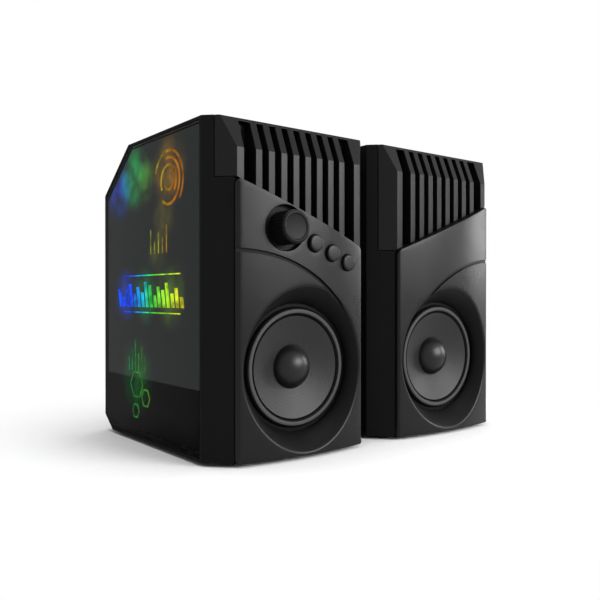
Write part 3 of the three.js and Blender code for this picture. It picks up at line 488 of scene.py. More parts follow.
MID = WIDTH / 2
BAFFLE_LEFT = 12.3 * MM
BAFFLE_RIGHT = WIDTH - BAFFLE_LEFT
BAFFLE_BOTTOM = 2 * MM
SLOPE_OUTER = 148.2 * MM
SLOPE_INNER = 115.2 * MM
BOW_FRONT = -6 * MM
BOW_RISE = 4.5 * MM
HALF_CHORD = MID - BAFFLE_LEFT
BOW_RADIUS = (HALF_CHORD**2 + BOW_RISE**2) / (2 * BOW_RISE)
LIP_BACK = 1.7 * MM
SIDE_ROUND = 1.8 * MM
EDGE_ROUND = 0.4 * MM
LEVEL_ENOUGH = 0.9
ROUND_STEPS = 7
DRIVER_HEIGHT = 48.5 * MM
DRIVER_HOLE = 35.2 * MM
BOSS_REACH = np.array([37.4, 39.6]) * MM
BOSS_BACK = 6.5 * MM
SCOOP_SEAT = 6 * MM
SCOOP_LAND = 0.1 * MM
SCOOP_ROUND = 0.9 * MM
SCOOP_FLARE = np.array([0.573, 0.8])
SCOOP_SAG = 0.85 * MM
SCOOP_SHARES = (0.85, 0.7, 0.5, 0.3, 0.15, 0.03)
SCOOP_COUNT = 256
GROOVE_TOP = 111 * MM
GROOVE_REACH = 40.15 * MM
GROOVE_HALF = (0.35 * MM, 1.1 * MM)
GROOVE_DEPTH = 1.3 * MM
GROOVE_CLEAR = 3 * MM
GROOVE_COUNT = 120
GROOVE_PAST_SIDE = 0.05
GROOVE_STOP = 0.04
GROOVE_FULL = 0.16
KNOB_X = 40 * MM
DISH_RADIUS = 12.2 * MM
DISH_DEPTH = 3.2 * MM
DISH_CORNER = 0.5 * MM
DISH_ROUND = 0.35 * MM
SHAFT_BORE = 3.4 * MM
BUTTON_PLACES = (59 * MM, 71.5 * MM, 84 * MM)
BUTTON_HOLE = 4.9 * MM
BUTTON_HOLE_ROUND = 0.3 * MM
CORNER_ROUND = 2.2 * MM
INNER_CORNER_ROUND = 5 * MM
CORNER_COUNT = 9
FRONT_MESH = 2.2 * MM
BACK_MESH = 6 * MM
MESH_CLEAR = 0.6
TOP_GAP = 0.3 * MM
CONTROL_INSET = 13.5 * MM
SLOPE = (SLOPE_INNER - SLOPE_OUTER) / (BAFFLE_RIGHT - BAFFLE_LEFT)


def bow(x):
    """Depth of the bowed front at x: an arc through the middle and both sides."""
    return BOW_FRONT + BOW_RADIUS - np.sqrt(BOW_RADIUS**2 - (np.asarray(x) - MID) ** 2)


def control_height(x):
    """Height of the controls at x: their line is parallel to the grille's sloping edge, which lies a
    gap above the baffle's, at an inset measured square to it."""
    return SLOPE_OUTER + TOP_GAP + (x - BAFFLE_LEFT) * SLOPE - CONTROL_INSET * math.hypot(1, SLOPE)


def rounded_outline(corners, radii, spacing):
    """A closed outline: at each corner an arc that touches both of its sides, and between the arcs
    straight runs cut to about the spacing."""
    corners = np.asarray(corners, float)
    before = np.roll(corners, 1, 0) - corners
    after = np.roll(corners, -1, 0) - corners
    before /= np.linalg.norm(before, axis=1)[:, None]
    after /= np.linalg.norm(after, axis=1)[:, None]
    half = np.arccos((before * after).sum(1)) / 2
    radii = np.asarray(radii, float)
    inward = before + after
    inward /= np.linalg.norm(inward, axis=1)[:, None]
    centres = corners + inward * (radii / np.sin(half))[:, None]
    reach = (radii / np.tan(half))[:, None]
    first, last = corners + before * reach, corners + after * reach
    points = []
    for k, centre in enumerate(centres):
        start = np.arctan2(*(first[k] - centre)[::-1])
        end = np.arctan2(*(last[k] - centre)[::-1])
        sweep = (end - start + np.pi) % (2 * np.pi) - np.pi
        turn = start + sweep * np.linspace(0, 1, CORNER_COUNT)
        points.append(centre + radii[k] * np.stack([np.cos(turn), np.sin(turn)], -1))
        run = first[(k + 1) % len(corners)] - last[k]
        steps = max(int(np.linalg.norm(run) / spacing), 1)
        points.append(last[k] + run * (np.arange(1, steps) / steps)[:, None])
    return np.concatenate(points)


def outline_normals(outline):
    """Unit normals pointing into an anticlockwise outline, the mean of its two edges' at each point."""
    edge = np.roll(outline, -1, 0) - outline
    edge /= np.linalg.norm(edge, axis=1)[:, None]
    left = np.stack([-edge[:, 1], edge[:, 0]], -1)
    mean = left + np.roll(left, 1, 0)
    return mean / (mean * left).sum(1)[:, None]


def rays(count):
    """Unit directions (x, z) all the way round."""
    turn = np.linspace(0, 2 * np.pi, count, endpoint=False)
    return np.stack([np.cos(turn), np.sin(turn)], -1)


def at_depth(points, depth):
    """Points (x, z) with a depth between them, as (x, y, z)."""
    depth = np.broadcast_to(depth, len(points))
    return np.stack([points[:, 0], depth, points[:, 1]], -1)


def face_with_holes(outline, holes, spacing, depth):
    """Triangles that fill an outline apart from its holes, at a depth that is a function of x. Inner
    points stand in rows and columns a spacing apart, and keep clear of the edges by a share of it."""
    low, high = outline.min(0), outline.max(0)
    columns = np.arange(low[0] + spacing, high[0], spacing)
    rows = np.arange(low[1] + spacing, high[1], spacing)
    inner = np.stack(np.meshgrid(columns, rows), -1).reshape(-1, 2)
    loops = [outline, *holes]
    edges = np.concatenate(loops)
    gap = np.linalg.norm(inner[:, None] - edges[None], axis=2).min(1)
    inner = inner[gap > spacing * MESH_CLEAR]
    starts = np.cumsum([0] + [len(loop) for loop in loops])
    polygons = [list(range(starts[k], starts[k + 1])) for k in range(len(loops))]
    flat = (np.concatenate([edges, inner]) / MM).tolist()
    points, _, faces, _, _, origins = delaunay_2d_cdt(flat, [], polygons, 1, DOUBLES)
    kept = [face for face, origin in zip(faces, origins) if origin == [0]]
    points = np.array(points) * MM
    return at_depth(points, depth(points[:, 0])), np.array(kept)


def rounded_mouth(rim, outward, roundness, walls):
    """A hole's rounded mouth in the bowed front: at each point of its rim a parabola starts on the bow
    outside it, has the rim as its corner and ends on the way to the first wall row."""
    outside = rim + outward * roundness
    first = at_depth(outside, bow(outside[:, 0]))
    corner = at_depth(rim, bow(rim[:, 0]))
    inwards = walls[0] - corner
    last = corner + inwards * (roundness / np.linalg.norm(inwards, axis=1)[:, None])
    t = np.linspace(0, 1, ROUND_STEPS)[:, None, None]
    curve = (1 - t) ** 2 * first + 2 * t * (1 - t) * corner + t**2 * last
    return outside, surface(curve, round_v=True), surface(np.stack([last, *walls]), round_v=True)


def round_hole(x, z, radius, roundness, section, count):
    """A round hole's mouth and its wall through (radius, depth) points."""
    ray = rays(count)
    centre = np.array([x, z])
    walls = [at_depth(centre + ray * reach, depth) for reach, depth in section]
    return rounded_mouth(centre + ray * radius, ray, roundness, walls)


def scoop():
    """The scoop widens forwards from the round hole to an upright oval, like the mouth of a horn: its
    wall sags inwards by a parabola from the straight line between the hole and the rim. The rim is
    where the oval meets the bow, found by going back and forth between the two."""
    ray = rays(SCOOP_COUNT)
    centre = np.array([MID, DRIVER_HEIGHT])
    rim = centre + ray * DRIVER_HOLE
    for _ in range(30):
        forward = SCOOP_SEAT - bow(rim[:, :1])
        rim = centre + ray * (DRIVER_HOLE + SCOOP_FLARE * forward)
    along = np.roll(rim, -1, 0) - np.roll(rim, 1, 0)
    outward = np.stack([along[:, 1], -along[:, 0]], -1)
    outward /= np.linalg.norm(outward, axis=1)[:, None]
    walls = []
    for share in SCOOP_SHARES:
        sag = 4 * SCOOP_SAG * share * (1 - share)
        reach = DRIVER_HOLE + SCOOP_FLARE * forward * share - sag
        walls.append(at_depth(centre + ray * reach, SCOOP_SEAT - forward[:, 0] * share))
    for reach, depth in ((DRIVER_HOLE, SCOOP_SEAT + SCOOP_LAND), (DRIVER_HOLE, BOSS_BACK),
                         (BOSS_REACH, BOSS_BACK), (BOSS_REACH, LIP_BACK)):
        walls.append(at_depth(centre + ray * reach, depth))
    return rounded_mouth(rim, outward, SCOOP_ROUND, walls)


def smooth_step(share):
    """Three times the share's square less twice its cube: from 0 to 1 with level ends."""
    return share * share * (3 - 2 * share)


def carried_edge(outline):
    """A quarter-round edge and a side wall, carried round the outline behind the bowed front. The
    round is large along the sides and small along the top and bottom, with a smooth step between."""
    inward = outline_normals(outline)
    level = np.clip(abs(inward[:, 1]) / LEVEL_ENOUGH, 0, 1)
    radius = SIDE_ROUND + (EDGE_ROUND - SIDE_ROUND) * smooth_step(level)
    angle = np.linspace(0, np.pi / 2, ROUND_STEPS)[:, None]
    inset = radius * (1 - np.sin(angle))
    points = outline[None] + inward[None] * inset[..., None]
    depth = bow(points[..., 0]) + radius * (1 - np.cos(angle))
    rounded = np.stack([points[..., 0], depth, points[..., 1]], -1)
    wall = at_depth(outline, LIP_BACK)
    return points[0], surface(np.concatenate([rounded, wall[None]]), round_v=True)


def groove_cutter():
    """The groove's path is an arc that leaves the outer side level and passes the driver's axis at a
    set distance, the radius less the centre's distance from the axis. It narrows and stops there. A
    rectangular section is carried along it, its floor a fixed depth behind the bow. The turns that
    start, narrow and stop it are in radians."""
    rise = GROOVE_TOP - GROOVE_REACH
    centre = (rise**2 - HALF_CHORD**2 - DRIVER_HEIGHT**2) / (2 * (rise - DRIVER_HEIGHT))
    radius = GROOVE_TOP - centre
    end = math.atan2(DRIVER_HEIGHT - centre, HALF_CHORD)
    turn = np.linspace(math.pi / 2 + GROOVE_PAST_SIDE, end + GROOVE_STOP, GROOVE_COUNT)
    half = np.interp(turn, [end + GROOVE_STOP, end + GROOVE_FULL], GROOVE_HALF)
    section = np.array([(-1, 0), (1, 0), (1, 1), (-1, 1)])
    reach = radius + section[:, :1] * half
    x = BAFFLE_LEFT + reach * np.cos(turn)
    z = centre + reach * np.sin(turn)
    front = bow(np.clip(x, BAFFLE_LEFT, BAFFLE_RIGHT))
    y = np.where(section[:, 1:] == 1, front + GROOVE_DEPTH, front - GROOVE_CLEAR)
    return closed_bar(np.stack([x, y, z], -1))


def cut(piece, side, cutter_surfaces):
    """Takes a closed solid out of a piece; the cut faces get the piece's last finish."""
    cutter = add_piece(side, "cutter", cutter_surfaces, piece.data.materials[0], None)
    last = len(piece.data.materials) - 1
    for material in piece.data.materials[1:]:
        cutter.data.materials.append(material)
    cutter.data.polygons.foreach_set("material_index", [last] * len(cutter.data.polygons))
    boolean = piece.modifiers.new("cut", "BOOLEAN")
    boolean.object = cutter
    boolean.operation = "DIFFERENCE"
    boolean.solver = "MANIFOLD"
    piece.modifiers.move(len(piece.modifiers) - 1, 0)
    bpy.context.view_layer.objects.active = piece
    bpy.ops.object.modifier_apply(modifier=boolean.name)
    bpy.data.objects.remove(cutter)
    sharpen(piece.data, CUT_TURN)


def finish_faces(piece, first, last, material):
    """Gives a run of a piece's faces another finish."""
    piece.data.materials.append(material)
    finish = np.zeros(len(piece.data.polygons), np.int32)
    finish[first:last] = 1
    piece.data.polygons.foreach_set("material_index", finish)


def front_baffle(side, has_controls):
    """The bowed face with its holes, their rounded mouths, the carried edge and a flat back. The walls
    of the scoop, the dish and the button holes get a darker, less glossy copy of the baffle's finish,
    painted shade in the recesses. A hole is its x, radius, rounding, wall, number of points and radius
    at the back."""
    outline = rounded_outline(
        [(BAFFLE_LEFT, BAFFLE_BOTTOM), (BAFFLE_RIGHT, BAFFLE_BOTTOM), (BAFFLE_RIGHT, SLOPE_INNER),
         (BAFFLE_LEFT, SLOPE_OUTER)],
        [CORNER_ROUND, CORNER_ROUND, INNER_CORNER_ROUND, CORNER_ROUND], FRONT_MESH)
    inner, edge = carried_edge(outline)
    mouths = [scoop()]
    back_rings = [np.array([MID, DRIVER_HEIGHT]) + rays(SCOOP_COUNT) * BOSS_REACH]
    if has_controls:
        floor = float(bow(KNOB_X)) + DISH_DEPTH
        dish = [(DISH_RADIUS, floor - DISH_CORNER), (DISH_RADIUS - DISH_CORNER, floor),
                (SHAFT_BORE, floor), (SHAFT_BORE, LIP_BACK)]
        wall = [(BUTTON_HOLE, LIP_BACK)]
        holes = [(KNOB_X, DISH_RADIUS, DISH_ROUND, dish, 96, SHAFT_BORE)]
        for x in BUTTON_PLACES:
            holes.append((x, BUTTON_HOLE, BUTTON_HOLE_ROUND, wall, 64, BUTTON_HOLE))
        for x, radius, roundness, section, count, back_radius in holes:
            z = control_height(x)
            mouths.append(round_hole(x, z, radius, roundness, section, count))
            back_rings.append(np.array([x, z]) + rays(count) * back_radius)
    rings, curves, walls = zip(*mouths)
    face = face_with_holes(inner, rings, FRONT_MESH, bow)
    back = face_with_holes(outline, back_rings, BACK_MESH, lambda x: np.full(len(x), LIP_BACK))
    piece = add_piece(side, f"{side}_baffle", [edge, *curves, face, back, *walls],
                      baffle_plastic, "pair")
    first_wall = sum(len(faces) for _, faces in (edge, *curves, face, back))
    finish_faces(piece, first_wall, None, shaded_recess_plastic)
    # The groove's cut faces take the last finish, the same painted shade as the recess walls.
    cut(piece, side, groove_cutter())
    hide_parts(f"{side}_front_baffle")


# A darker, less glossy copy of the baffle's plastic: painted shade in the scoop, the dish, the button
# holes and the groove.
shaded_recess_plastic = moulded_plastic(
    "shaded_recess_plastic", grey(12), 0.45, change=0.1, grain=3200.0, specular=0.09
)
baffle_plastic = moulded_plastic("baffle_plastic", grey(13), 0.3, grain=3200.0, specular=0.17)
for side in SIDES:
    front_baffle(side, side == "main")

# ------------------------------------------------------------------ fin grilles
# Separate ABS mouldings over the baffles: eight fins between two end plates, chamfered together at
# the top, with cheeks in line with the shell's corner facets.

fin_plastic = moulded_plastic("fin_plastic", grey(13), 0.34, grain=3200.0, specular=0.15)
for side in SIDES:
    grille = finished_copy(f"{side}_fin_grille", f"{side}_grille", fin_plastic, 0.35 * MM, turn=20)

# ------------------------------------------------------------------ drivers
# Three-inch full-range drivers: a rolled rubber surround, a coated paper cone and a domed cap, on a
# pressed steel frame that stays out of sight behind the baffle.

GASKET_FRONT = 6.8 * MM
ROLL = 2.4 * MM
ROLL_WALL = 0.8 * MM
ROLL_CENTRE = (30.9 * MM, GASKET_FRONT)
SURROUND_RADIUS = 34.9 * MM
LAND_WALL = 0.9 * MM
LAP_WIDTH = 2.2 * MM
LAP_BEHIND = 1.2 * MM
CREST = slice(14, 23)
CREST_HEIGHT = 0.12 * MM
CONE_FRONT = 5.6 * MM
CONE_DEPTH = 4.4 * MM
CONE_CURVE = 1.25
CONE_WALL = 0.8 * MM
CONE_RADIUS = 28.2 * MM
NECK_RADIUS = 11.1 * MM
RIPPLE = 0.012 * MM
RIPPLE_PITCH = 1.9 * MM
RIPPLE_START = 15 * MM
CAP_RADIUS = 12.2 * MM
CAP_RISE = 8 * MM
CAP_SINK = 0.3 * MM
CAP_WALL = 0.6 * MM
ROUND_COUNT = 192


def turned(profile, x, z, count, closed=True):
    """A surface of revolution about an axis along y through (x, z), from (radius, depth) points."""
    profile = np.asarray(profile, float)
    turn = np.linspace(0, 2 * np.pi, count, endpoint=False)
    reach = profile[:, :1]
    depth = np.broadcast_to(profile[:, 1:], (len(profile), count))
    grid = np.stack([x + reach * np.cos(turn), depth, z + reach * np.sin(turn)], -1)
    return surface(grid, round_u=closed, round_v=True)


def arc_points(centre, radius, start, end, steps):
    """Points of an arc between two angles in degrees."""
    turn = np.radians(np.linspace(start, end, steps))
    return np.stack([centre[0] + radius * np.cos(turn), centre[1] + radius * np.sin(turn)], -1)


def cone_depth(radius):
    """Depth of the cone's front at a radius: it falls from the edge to the neck along a power curve
    that is steeper at the edge."""
    share = (CONE_RADIUS - radius) / (CONE_RADIUS - NECK_RADIUS)
    return CONE_FRONT + CONE_DEPTH * (1 - (1 - share) ** CONE_CURVE)


def cone_profile():
    """Front and back of the cone's wall; the front has shallow pressed rings, a sine of the radius."""
    radius = np.linspace(CONE_RADIUS, NECK_RADIUS, 90)
    ripple = RIPPLE * np.sin(radius / RIPPLE_PITCH * 2 * np.pi) * (radius > RIPPLE_START)
    front = np.stack([radius, cone_depth(radius) + ripple], -1)
    back = np.stack([radius, cone_depth(radius) + CONE_WALL], -1)[::-12]
    return np.concatenate([front, back])


def surround_profile():
    """A half roll between a flat outer land and the cone's edge, with an even wall and a low band
    along its crest."""
    over = arc_points(ROLL_CENTRE, ROLL, 180, 360, 37)
    over[CREST, 1] -= CREST_HEIGHT
    under_centre = (ROLL_CENTRE[0], GASKET_FRONT + ROLL_WALL)
    under = arc_points(under_centre, ROLL - ROLL_WALL, 360, 180, 13)
    inner = CONE_RADIUS - LAP_WIDTH
    lap = cone_depth(inner) + LAP_BEHIND
    return np.concatenate([
        [(inner, lap), (CONE_RADIUS, GASKET_FRONT)], over, [(SURROUND_RADIUS, GASKET_FRONT)],
        [(SURROUND_RADIUS, GASKET_FRONT + LAND_WALL)], under,
        [(CONE_RADIUS, GASKET_FRONT + ROLL_WALL), (inner, lap + ROLL_WALL)],
    ])


def cap_profile():
    """A dome on the cone's neck, part of a sphere through its rim and its top, and its inside."""
    radius = (CAP_RADIUS**2 + CAP_RISE**2) / (2 * CAP_RISE)
    rim = float(cone_depth(CAP_RADIUS)) - CAP_SINK
    centre = (0.0, rim - CAP_RISE + radius)
    half = math.degrees(math.asin(CAP_RADIUS / radius))
    outside = arc_points(centre, radius, -90, -90 + half, 28)
    inside = arc_points(centre, radius - CAP_WALL, -90 + half, -90, 8)
    outside[0, 0] = inside[-1, 0] = 0
    return np.concatenate([outside, inside])


def coated_paper():
    """Pressed paper pulp under a grey coating: short fibres in the colour and the bump."""
    material, tree, shader = new_material("coated_paper")
    place = add_node(tree, "TexCoord").outputs["Object"]
    fibre = add_node(tree, "TexNoise", in_Vector=place, in_Scale=900.0, in_Detail=6.0,
                     in_Roughness=0.7, in_Distortion=1.2)
    tone = add_node(tree, "ValToRGB", in_Fac=fibre.outputs["Fac"])
    color_stops(tone, [(0.3, grey(16)[:3]), (0.7, grey(29)[:3])])
    bump = add_node(tree, "Bump", in_Distance=0.00006, in_Height=fibre.outputs["Fac"])
    fill(tree, shader, in_Base_Color=tone.outputs["Color"], in_Normal=bump.outputs["Normal"],
         in_Roughness=0.42, in_Specular_IOR_Level=0.24)
    return material


def weight_by_radius(piece):
    """Reads where the roll's corners are, and does nothing with them."""
    count = len(piece.data.vertices)
    points = np.empty(count * 3, np.float32)
    piece.data.vertices.foreach_get("co", points)
    points = points.reshape(-1, 3)


rubber = moulded_plastic(
    "surround_rubber", grey(11), 0.38, change=0.1, grain=1800.0, specular=0.06
)
# A light grey band along the roll's crest, much lighter than the rubber round it: a painted highlight.
crest_highlight_rubber = moulded_plastic(
    "crest_highlight_rubber", grey(63), 0.48, change=0.1, grain=1800.0, specular=0.1
)
paper = coated_paper()
cap_plastic = moulded_plastic("cap_plastic", grey(9), 0.36, grain=3000.0, specular=0.29)
cone_surface = turned(cone_profile(), MID, DRIVER_HEIGHT, ROUND_COUNT)
cap_surface = turned(cap_profile(), MID, DRIVER_HEIGHT, 128)
roll_surface = turned(surround_profile(), MID, DRIVER_HEIGHT, ROUND_COUNT)
# Two points come before the roll's arc, and the crest's faces reach one point past it at both ends.
crest_start = (CREST.start + 1) * ROUND_COUNT
crest_end = (CREST.stop + 2) * ROUND_COUNT
for side in SIDES:
    cone_body = f"{side}_cone_body"
    cone = add_piece(side, f"{side}_cone", [cone_surface], paper, cone_body, ROUND_TURN)
    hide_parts(f"{side}_driver_cone")
    cap = add_piece(side, f"{side}_cap", [cap_surface], cap_plastic, cone_body, ROUND_TURN)
    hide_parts(f"{side}_dust_cap")
    roll = add_piece(side, f"{side}_surround", [roll_surface], rubber, None,
                     ROUND_TURN)
    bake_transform(roll)
    # The crest's faces get the light grey band, a painted highlight all round the roll.
    finish_faces(roll, crest_start, crest_end, crest_highlight_rubber)
    weight_by_radius(roll)
    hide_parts(f"{side}_driver_surround")

# ------------------------------------------------------------------ volume knob and buttons
# The knob is a fluted plastic cap pressed on the potentiometer's flatted shaft. The buttons are round
# plastic caps that stand a little proud of the baffle, and a flange behind it keeps them in.

KNOB_PROUD = 9.5 * MM
KNOB_FRONT = float(bow(KNOB_X)) - KNOB_PROUD
KNOB_SHOULDER = 8 * MM
FLUTES = 30
POINTS_PER_FLUTE = 12
FLUTE_DEPTH = 0.42 * MM
FLUTE_FADE = 1.0 * MM
FLUTES_FRONT = 0.6 * MM
FLUTES_BACK = 12.0 * MM
BUTTON_RADIUS = 4.5 * MM
BUTTON_PROUD = 2.2 * MM
FLANGE_RADIUS = 5.6 * MM
FLANGE_BEHIND = 3.3 * MM
FLANGE_WALL = 1.2 * MM
STEM_RADIUS = 1.5 * MM
STEM_BACK = 4.0 * MM


def knob_surface():
    """The knob's section of radius and depth, turned; its side is pulled in by a pointed wave round
    the axis, which fades out at both rims."""
    section = np.array([
        (0, 0.45), (0.3, 0.45), (6.3, 0.45), (6.6, 0.38), (6.85, 0.1), (7.1, 0), (7.5, 0),
        (8.0, 0.08), (8.5, 0.32), (8.85, 0.75), (9.0, 1.3), (9.0, 2.2), (9.0, 6), (9.0, 11.4),
        (8.9, 11.9), (8.6, 12.2), (0, 12.2),
    ]) * MM
    turn = np.linspace(0, 2 * np.pi, FLUTES * POINTS_PER_FLUTE, endpoint=False)
    wave = 0.5 + 0.5 * np.cos(turn * FLUTES)
    depth = section[:, 1]
    fade_in = np.clip((depth - FLUTES_FRONT) / FLUTE_FADE, 0, 1)
    fade_out = np.clip((FLUTES_BACK - depth) / FLUTE_FADE, 0, 1)
    on_side = section[:, :1] > KNOB_SHOULDER
    flute = FLUTE_DEPTH * (1 - wave**0.6) * (fade_in * fade_out)[:, None] * on_side
    reach = section[:, :1] - flute
    x = KNOB_X + reach * np.cos(turn)
    z = control_height(KNOB_X) + reach * np.sin(turn)
    y = np.broadcast_to(KNOB_FRONT + depth[:, None], x.shape)
    return surface(np.stack([x, y, z], -1), round_v=True)


def button_profile(x):
    """A cap with a softly domed, rounded top, its flange behind the baffle and its stem."""
    front = float(bow(x)) - BUTTON_PROUD
    flange = float(bow(x + FLANGE_RADIUS)) + FLANGE_BEHIND
    dome = np.array([(0, 0), (3.0, 0.02), (3.7, 0.06), (4.1, 0.16), (4.38, 0.38), (4.5, 0.7)]) * MM
    return np.concatenate([dome + np.array([0, front]), [
        (BUTTON_RADIUS, flange), (FLANGE_RADIUS, flange), (FLANGE_RADIUS, flange + FLANGE_WALL),
        (STEM_RADIUS, flange + FLANGE_WALL), (STEM_RADIUS, STEM_BACK), (0, STEM_BACK),
    ]])


knob_plastic = moulded_plastic("knob_plastic", grey(12), 0.36, grain=3000.0, specular=0.08)
button_plastic = moulded_plastic("button_plastic", grey(13), 0.3, grain=3000.0, specular=0.17)
knob = add_piece("main", "knob", [knob_surface()], knob_plastic, "knob_body", ROUND_TURN)
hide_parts("main_volume_knob")
for number, x in enumerate(BUTTON_PLACES, 1):
    profile = turned(button_profile(x), x, control_height(x), 64, closed=False)
    button = add_piece("main", f"push_button_{number}", [profile], button_plastic,
                       f"button_{number}_body", ROUND_TURN)
    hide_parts(f"main_button_{number}")

# ------------------------------------------------------------------ rear covers and screws
# Flat plates of the shells' plastic that close the cabinets' backs. Each is held by four countersunk
# screws of blackened steel with a cross recess.

REAR_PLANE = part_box("main_rear_cover")[1].y - FIN_PLANE
SCREW_HEAD = 2.5 * MM
SCREW_COUNT = 96
SINK_DEPTH = 1.0 * MM
SLOT_HALF = 0.32 * MM
SLOT_REACH = 1.45 * MM
SLOT_DEPTH = 0.75 * MM
SCREW_EDGE = 21 * MM
SCREW_PLACES = [(x, z) for x in (SCREW_EDGE, WIDTH - SCREW_EDGE) for z in (26 * MM, 130 * MM)]


def steel(name, color, roughness, grain=600.0):
    """Plated steel: metallic, with fine streaks in its roughness."""
    material, tree, shader = new_material(name)
    place = add_node(tree, "TexCoord").outputs["Object"]
    streak = add_node(tree, "TexNoise", in_Vector=place, in_Scale=grain, in_Detail=4.0)
    spread = add_node(tree, "MapRange", in_Value=streak.outputs["Fac"], in_1=0.3, in_2=0.7,
                      in_3=roughness - 0.08, in_4=roughness + 0.1)
    fill(tree, shader, in_Base_Color=color, in_Metallic=1.0, in_Roughness=spread.outputs["Result"])
    return material


def screw_surface(x, z):
    """A countersunk head with a cross recess: the depth falls to the recess's floor inside two crossing
    slots, and to the rim's chamfer outside the head."""
    radius = np.concatenate([np.linspace(0.02, 1.5, 16), [1.9, 2.25, 2.4, 2.45, 2.45]]) * MM
    turn = np.linspace(0, 2 * np.pi, SCREW_COUNT, endpoint=False)
    u, v = radius[:, None] * np.cos(turn), radius[:, None] * np.sin(turn)
    near, far = np.minimum(abs(u), abs(v)), np.maximum(abs(u), abs(v))
    height = np.full(u.shape, -0.1 * MM)
    height[(near < SLOT_HALF) & (far < SLOT_REACH)] = -SLOT_DEPTH
    height[-3:] = np.array([-0.16, -0.3, -0.95])[:, None] * MM
    points, quads = surface(np.stack([x + u, REAR_PLANE + height, z + v], -1), round_v=True)
    middle = np.arange(SCREW_COUNT)[None]
    return [(points, quads), (points, middle), (points, middle + (len(radius) - 1) * SCREW_COUNT)]


def countersink(x, z):
    """The round pit that a screw's head lies in, with a slight flare at its mouth."""
    wall, mouth, over = SCREW_HEAD + 0.15 * MM, SCREW_HEAD + 0.6 * MM, 0.15 * MM
    section = np.array([
        (0, -SINK_DEPTH), (wall, -SINK_DEPTH), (wall, -0.3 * MM), (mouth, over), (0, over),
    ])
    return turned(section + np.array([0, REAR_PLANE]), x, z, 48, closed=False)


zinc = steel("zinc_plate", grey(150), 0.32)
black_steel = steel("blackened_steel", grey(60), 0.38)
for side in SIDES:
    cover = finished_copy(f"{side}_rear_cover", f"{side}_cover", shell_plastic, 0.3 * MM)
    cut(cover, side, [countersink(x, z) for x, z in SCREW_PLACES])
    for number, (x, z) in enumerate(SCREW_PLACES, 1):
        add_piece(side, f"{side}_screw_{number}", screw_surface(x, z), black_steel, "pair", 40)

# ------------------------------------------------------------------ pieces that keep their own surface
# Feet, sockets and everything inside the cabinets: their shapes are right as they are, and each gets
# the finish of what it is made of.


def brown_cloth():
    """Resin-treated cotton: a plain weave of two crossing waves."""
    material, tree, shader = new_material("resin_cloth")
    place = add_node(tree, "TexCoord").outputs["Object"]
    across = add_node(tree, "TexWave", in_Vector=place, in_Scale=350.0, bands_direction="X")
    down = add_node(tree, "TexWave", in_Vector=place, in_Scale=350.0, bands_direction="Z")
    weave = add_node(tree, "Math", operation="MULTIPLY", in_0=across.outputs["Fac"],
                     in_1=down.outputs["Fac"])
    tone = add_node(tree, "ValToRGB", in_Fac=weave.outputs[0])
    color_stops(tone, [(0.0, (0.18, 0.09, 0.03)), (1.0, (0.42, 0.24, 0.09))])
    bump = add_node(tree, "Bump", in_Distance=0.0001, in_Height=weave.outputs[0])
    fill(tree, shader, in_Base_Color=tone.outputs["Color"], in_Normal=bump.outputs["Normal"],
         in_Roughness=0.8)
    return material


foot_rubber = moulded_plastic("foot_rubber", grey(24), 0.75, grain=1500.0)
board_resist = moulded_plastic("board_resist", (0.01, 0.09, 0.03, 1), 0.35, grain=700.0)
foam = moulded_plastic("closed_foam", grey(30), 0.9, grain=2000.0, depth=0.00012)
copper = steel("enamelled_copper", (0.55, 0.2, 0.08, 1), 0.3, 3000.0)
ferrite = moulded_plastic("ferrite", grey(40), 0.6, grain=1200.0)
inner_plastic = moulded_plastic("inner_plastic", grey(24), 0.5)
basket_paint = moulded_plastic("basket_paint", grey(14), 0.45, grain=1500.0, specular=0.2)
cloth = brown_cloth()
KEPT = {
    "foot_": foot_rubber, "led_strip": board_resist, "control_board": board_resist,
    "amplifier_board": board_resist, "gasket": foam, "voice_coil": copper, "magnet": ferrite,
    "spider": cloth, "driver_frame": basket_paint, "yoke": zinc, "shaft": zinc, "socket": zinc,
    "bulkhead": inner_plastic, "volume_pot": inner_plastic, "power_inlet": inner_plastic,
}
for name, node in frame["nodes"].items():
    for part, material in KEPT.items():
        if part in name:
            node.data.materials.clear()
            node.data.materials.append(material)

# ------------------------------------------------------------------ floor, lights and camera
# A white studio sweep under three softboxes, ahead, to the right and overhead, in soft pale light.
# Each softbox is its name, place, target, width and height in metres, and power in watts.

FLOOR_HALF = 3.0
SHADOW_REACH = (0.12, 0.26)
WORLD_STRENGTH = 0.35
SOFTBOXES = (
    ("front softbox", (0.58, -1.26, 0.54), (0, 0, 0.1), 0.95, 0.62, 24),
    ("right softbox", (1.22, -0.46, 0.36), (0.1, 0, 0.1), 0.3, 0.45, 5),
    ("top softbox", (0.0, 0.1, 1.3), (0, 0, 0.09), 1.2, 1.0, 13),
)
CAMERA_FROM_CORNER = Vector((-177.4, -299.6, 87.4)) * MM
CAMERA_TURN = 37.6
CAMERA_DIP = 0.3
CAMERA_LENS = 41.84


def white_when_seen(tree, shader, share=None):
    """Adds white light to a shader's surface where a camera, glossy or transmitted ray meets it, as far
    as a share between 0 and 1 says."""
    path = add_node(tree, "LightPath")
    seen = add_node(tree, "Math", operation="ADD", in_0=path.outputs["Is Camera Ray"],
                    in_1=path.outputs["Is Glossy Ray"])
    seen = add_node(tree, "Math", operation="ADD", in_0=seen.outputs[0],
                    in_1=path.outputs["Is Transmission Ray"], use_clamp=True)
    if share:
        seen = add_node(tree, "Math", operation="MULTIPLY", in_0=seen.outputs[0], in_1=share)
    white = add_node(tree, "Background" if shader.type == "BACKGROUND" else "Emission",
                     in_Color=(1, 1, 1, 1), in_Strength=1.0)
    return add_node(tree, "MixShader", in_0=seen.outputs[0], in_1=shader.outputs[0],
                    in_2=white.outputs[0])


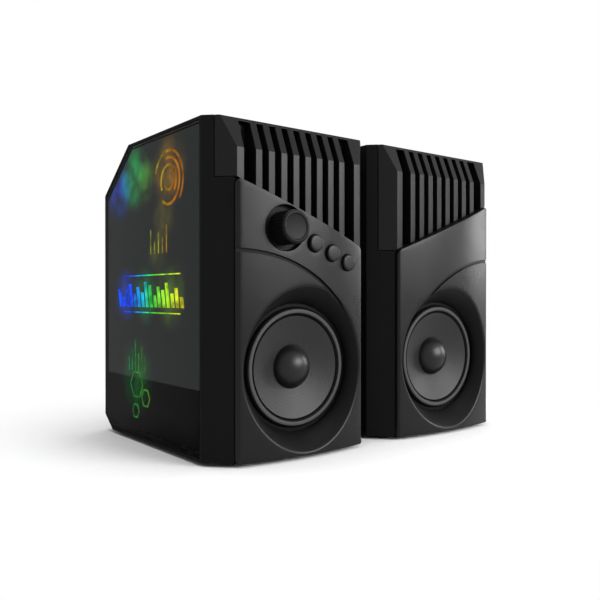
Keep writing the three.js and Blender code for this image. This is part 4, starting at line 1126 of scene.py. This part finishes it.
def studio_floor():
    """White paper under the object that carries its shadow, and turns to plain white away from it."""
    mesh = bpy.data.meshes.new("floor")
    corners = np.array([(-1, -1, 0), (1, -1, 0), (1, 1, 0), (-1, 1, 0)]) * FLOOR_HALF
    mesh.from_pydata(corners, [], [(0, 1, 2, 3)])
    material, tree, shader = new_material("floor_paper")
    place = add_node(tree, "TexCoord").outputs["Object"]
    fibre = add_node(tree, "TexNoise", in_Vector=place, in_Scale=200.0, in_Detail=3.0)
    tone = add_node(tree, "MapRange", in_Value=fibre.outputs["Fac"], in_3=0.9, in_4=0.94)
    fill(tree, shader, in_Base_Color=tone.outputs["Result"], in_Roughness=0.9,
         in_Specular_IOR_Level=0.1)
    away = add_node(tree, "VectorMath", operation="LENGTH", in_0=place)
    share = add_node(tree, "MapRange", in_Value=away.outputs["Value"], in_1=SHADOW_REACH[0],
                     in_2=SHADOW_REACH[1], interpolation_type="SMOOTHSTEP")
    mixed = white_when_seen(tree, shader, share.outputs["Result"])
    fill(tree, tree.nodes["Material Output"], in_Surface=mixed.outputs[0])
    mesh.materials.append(material)
    floor = bpy.data.objects.new("floor", mesh)
    bpy.context.scene.collection.objects.link(floor)


def softbox(name, place, target, width, height, power):
    """A rectangular lamp at a place, turned to its target."""
    lamp = bpy.data.lights.new(name, "AREA")
    lamp.shape = "RECTANGLE"
    lamp.size = width
    lamp.size_y = height
    lamp.energy = power
    holder = bpy.data.objects.new(name, lamp)
    holder.location = place
    holder.rotation_euler = (Vector(target) - Vector(place)).to_track_quat("-Z", "Y").to_euler()
    bpy.context.scene.collection.objects.link(holder)


def pale_world():
    """Soft pale light from all round, and plain white where it is seen."""
    world = bpy.data.worlds.new("studio")
    world.use_nodes = True
    bpy.context.scene.world = world
    tree = world.node_tree
    soft = tree.nodes["Background"]
    fill(tree, soft, in_Color=(1, 1, 1, 1), in_Strength=WORLD_STRENGTH)
    mixed = white_when_seen(tree, soft)
    fill(tree, tree.nodes["World Output"], in_Surface=mixed.outputs[0])


studio_floor()
pale_world()
for values in SOFTBOXES:
    softbox(*values)

# The camera stands low in front of the main speaker's outer corner and looks along the pair.
camera_data = bpy.data.cameras.new("camera")
camera_data.sensor_width = 36
camera_data.lens = CAMERA_LENS
camera_data.clip_start = 0.01
camera = bpy.data.objects.new("camera", camera_data)
camera.location = Vector((OUTER_SIDE["main"], FIN_PLANE, 0)) + CAMERA_FROM_CORNER
camera.rotation_euler = (math.radians(90 - CAMERA_DIP), 0, math.radians(-CAMERA_TURN))
bpy.context.scene.collection.objects.link(camera)
bpy.context.scene.camera = camera
bpy.context.scene.view_settings.view_transform = "Standard"
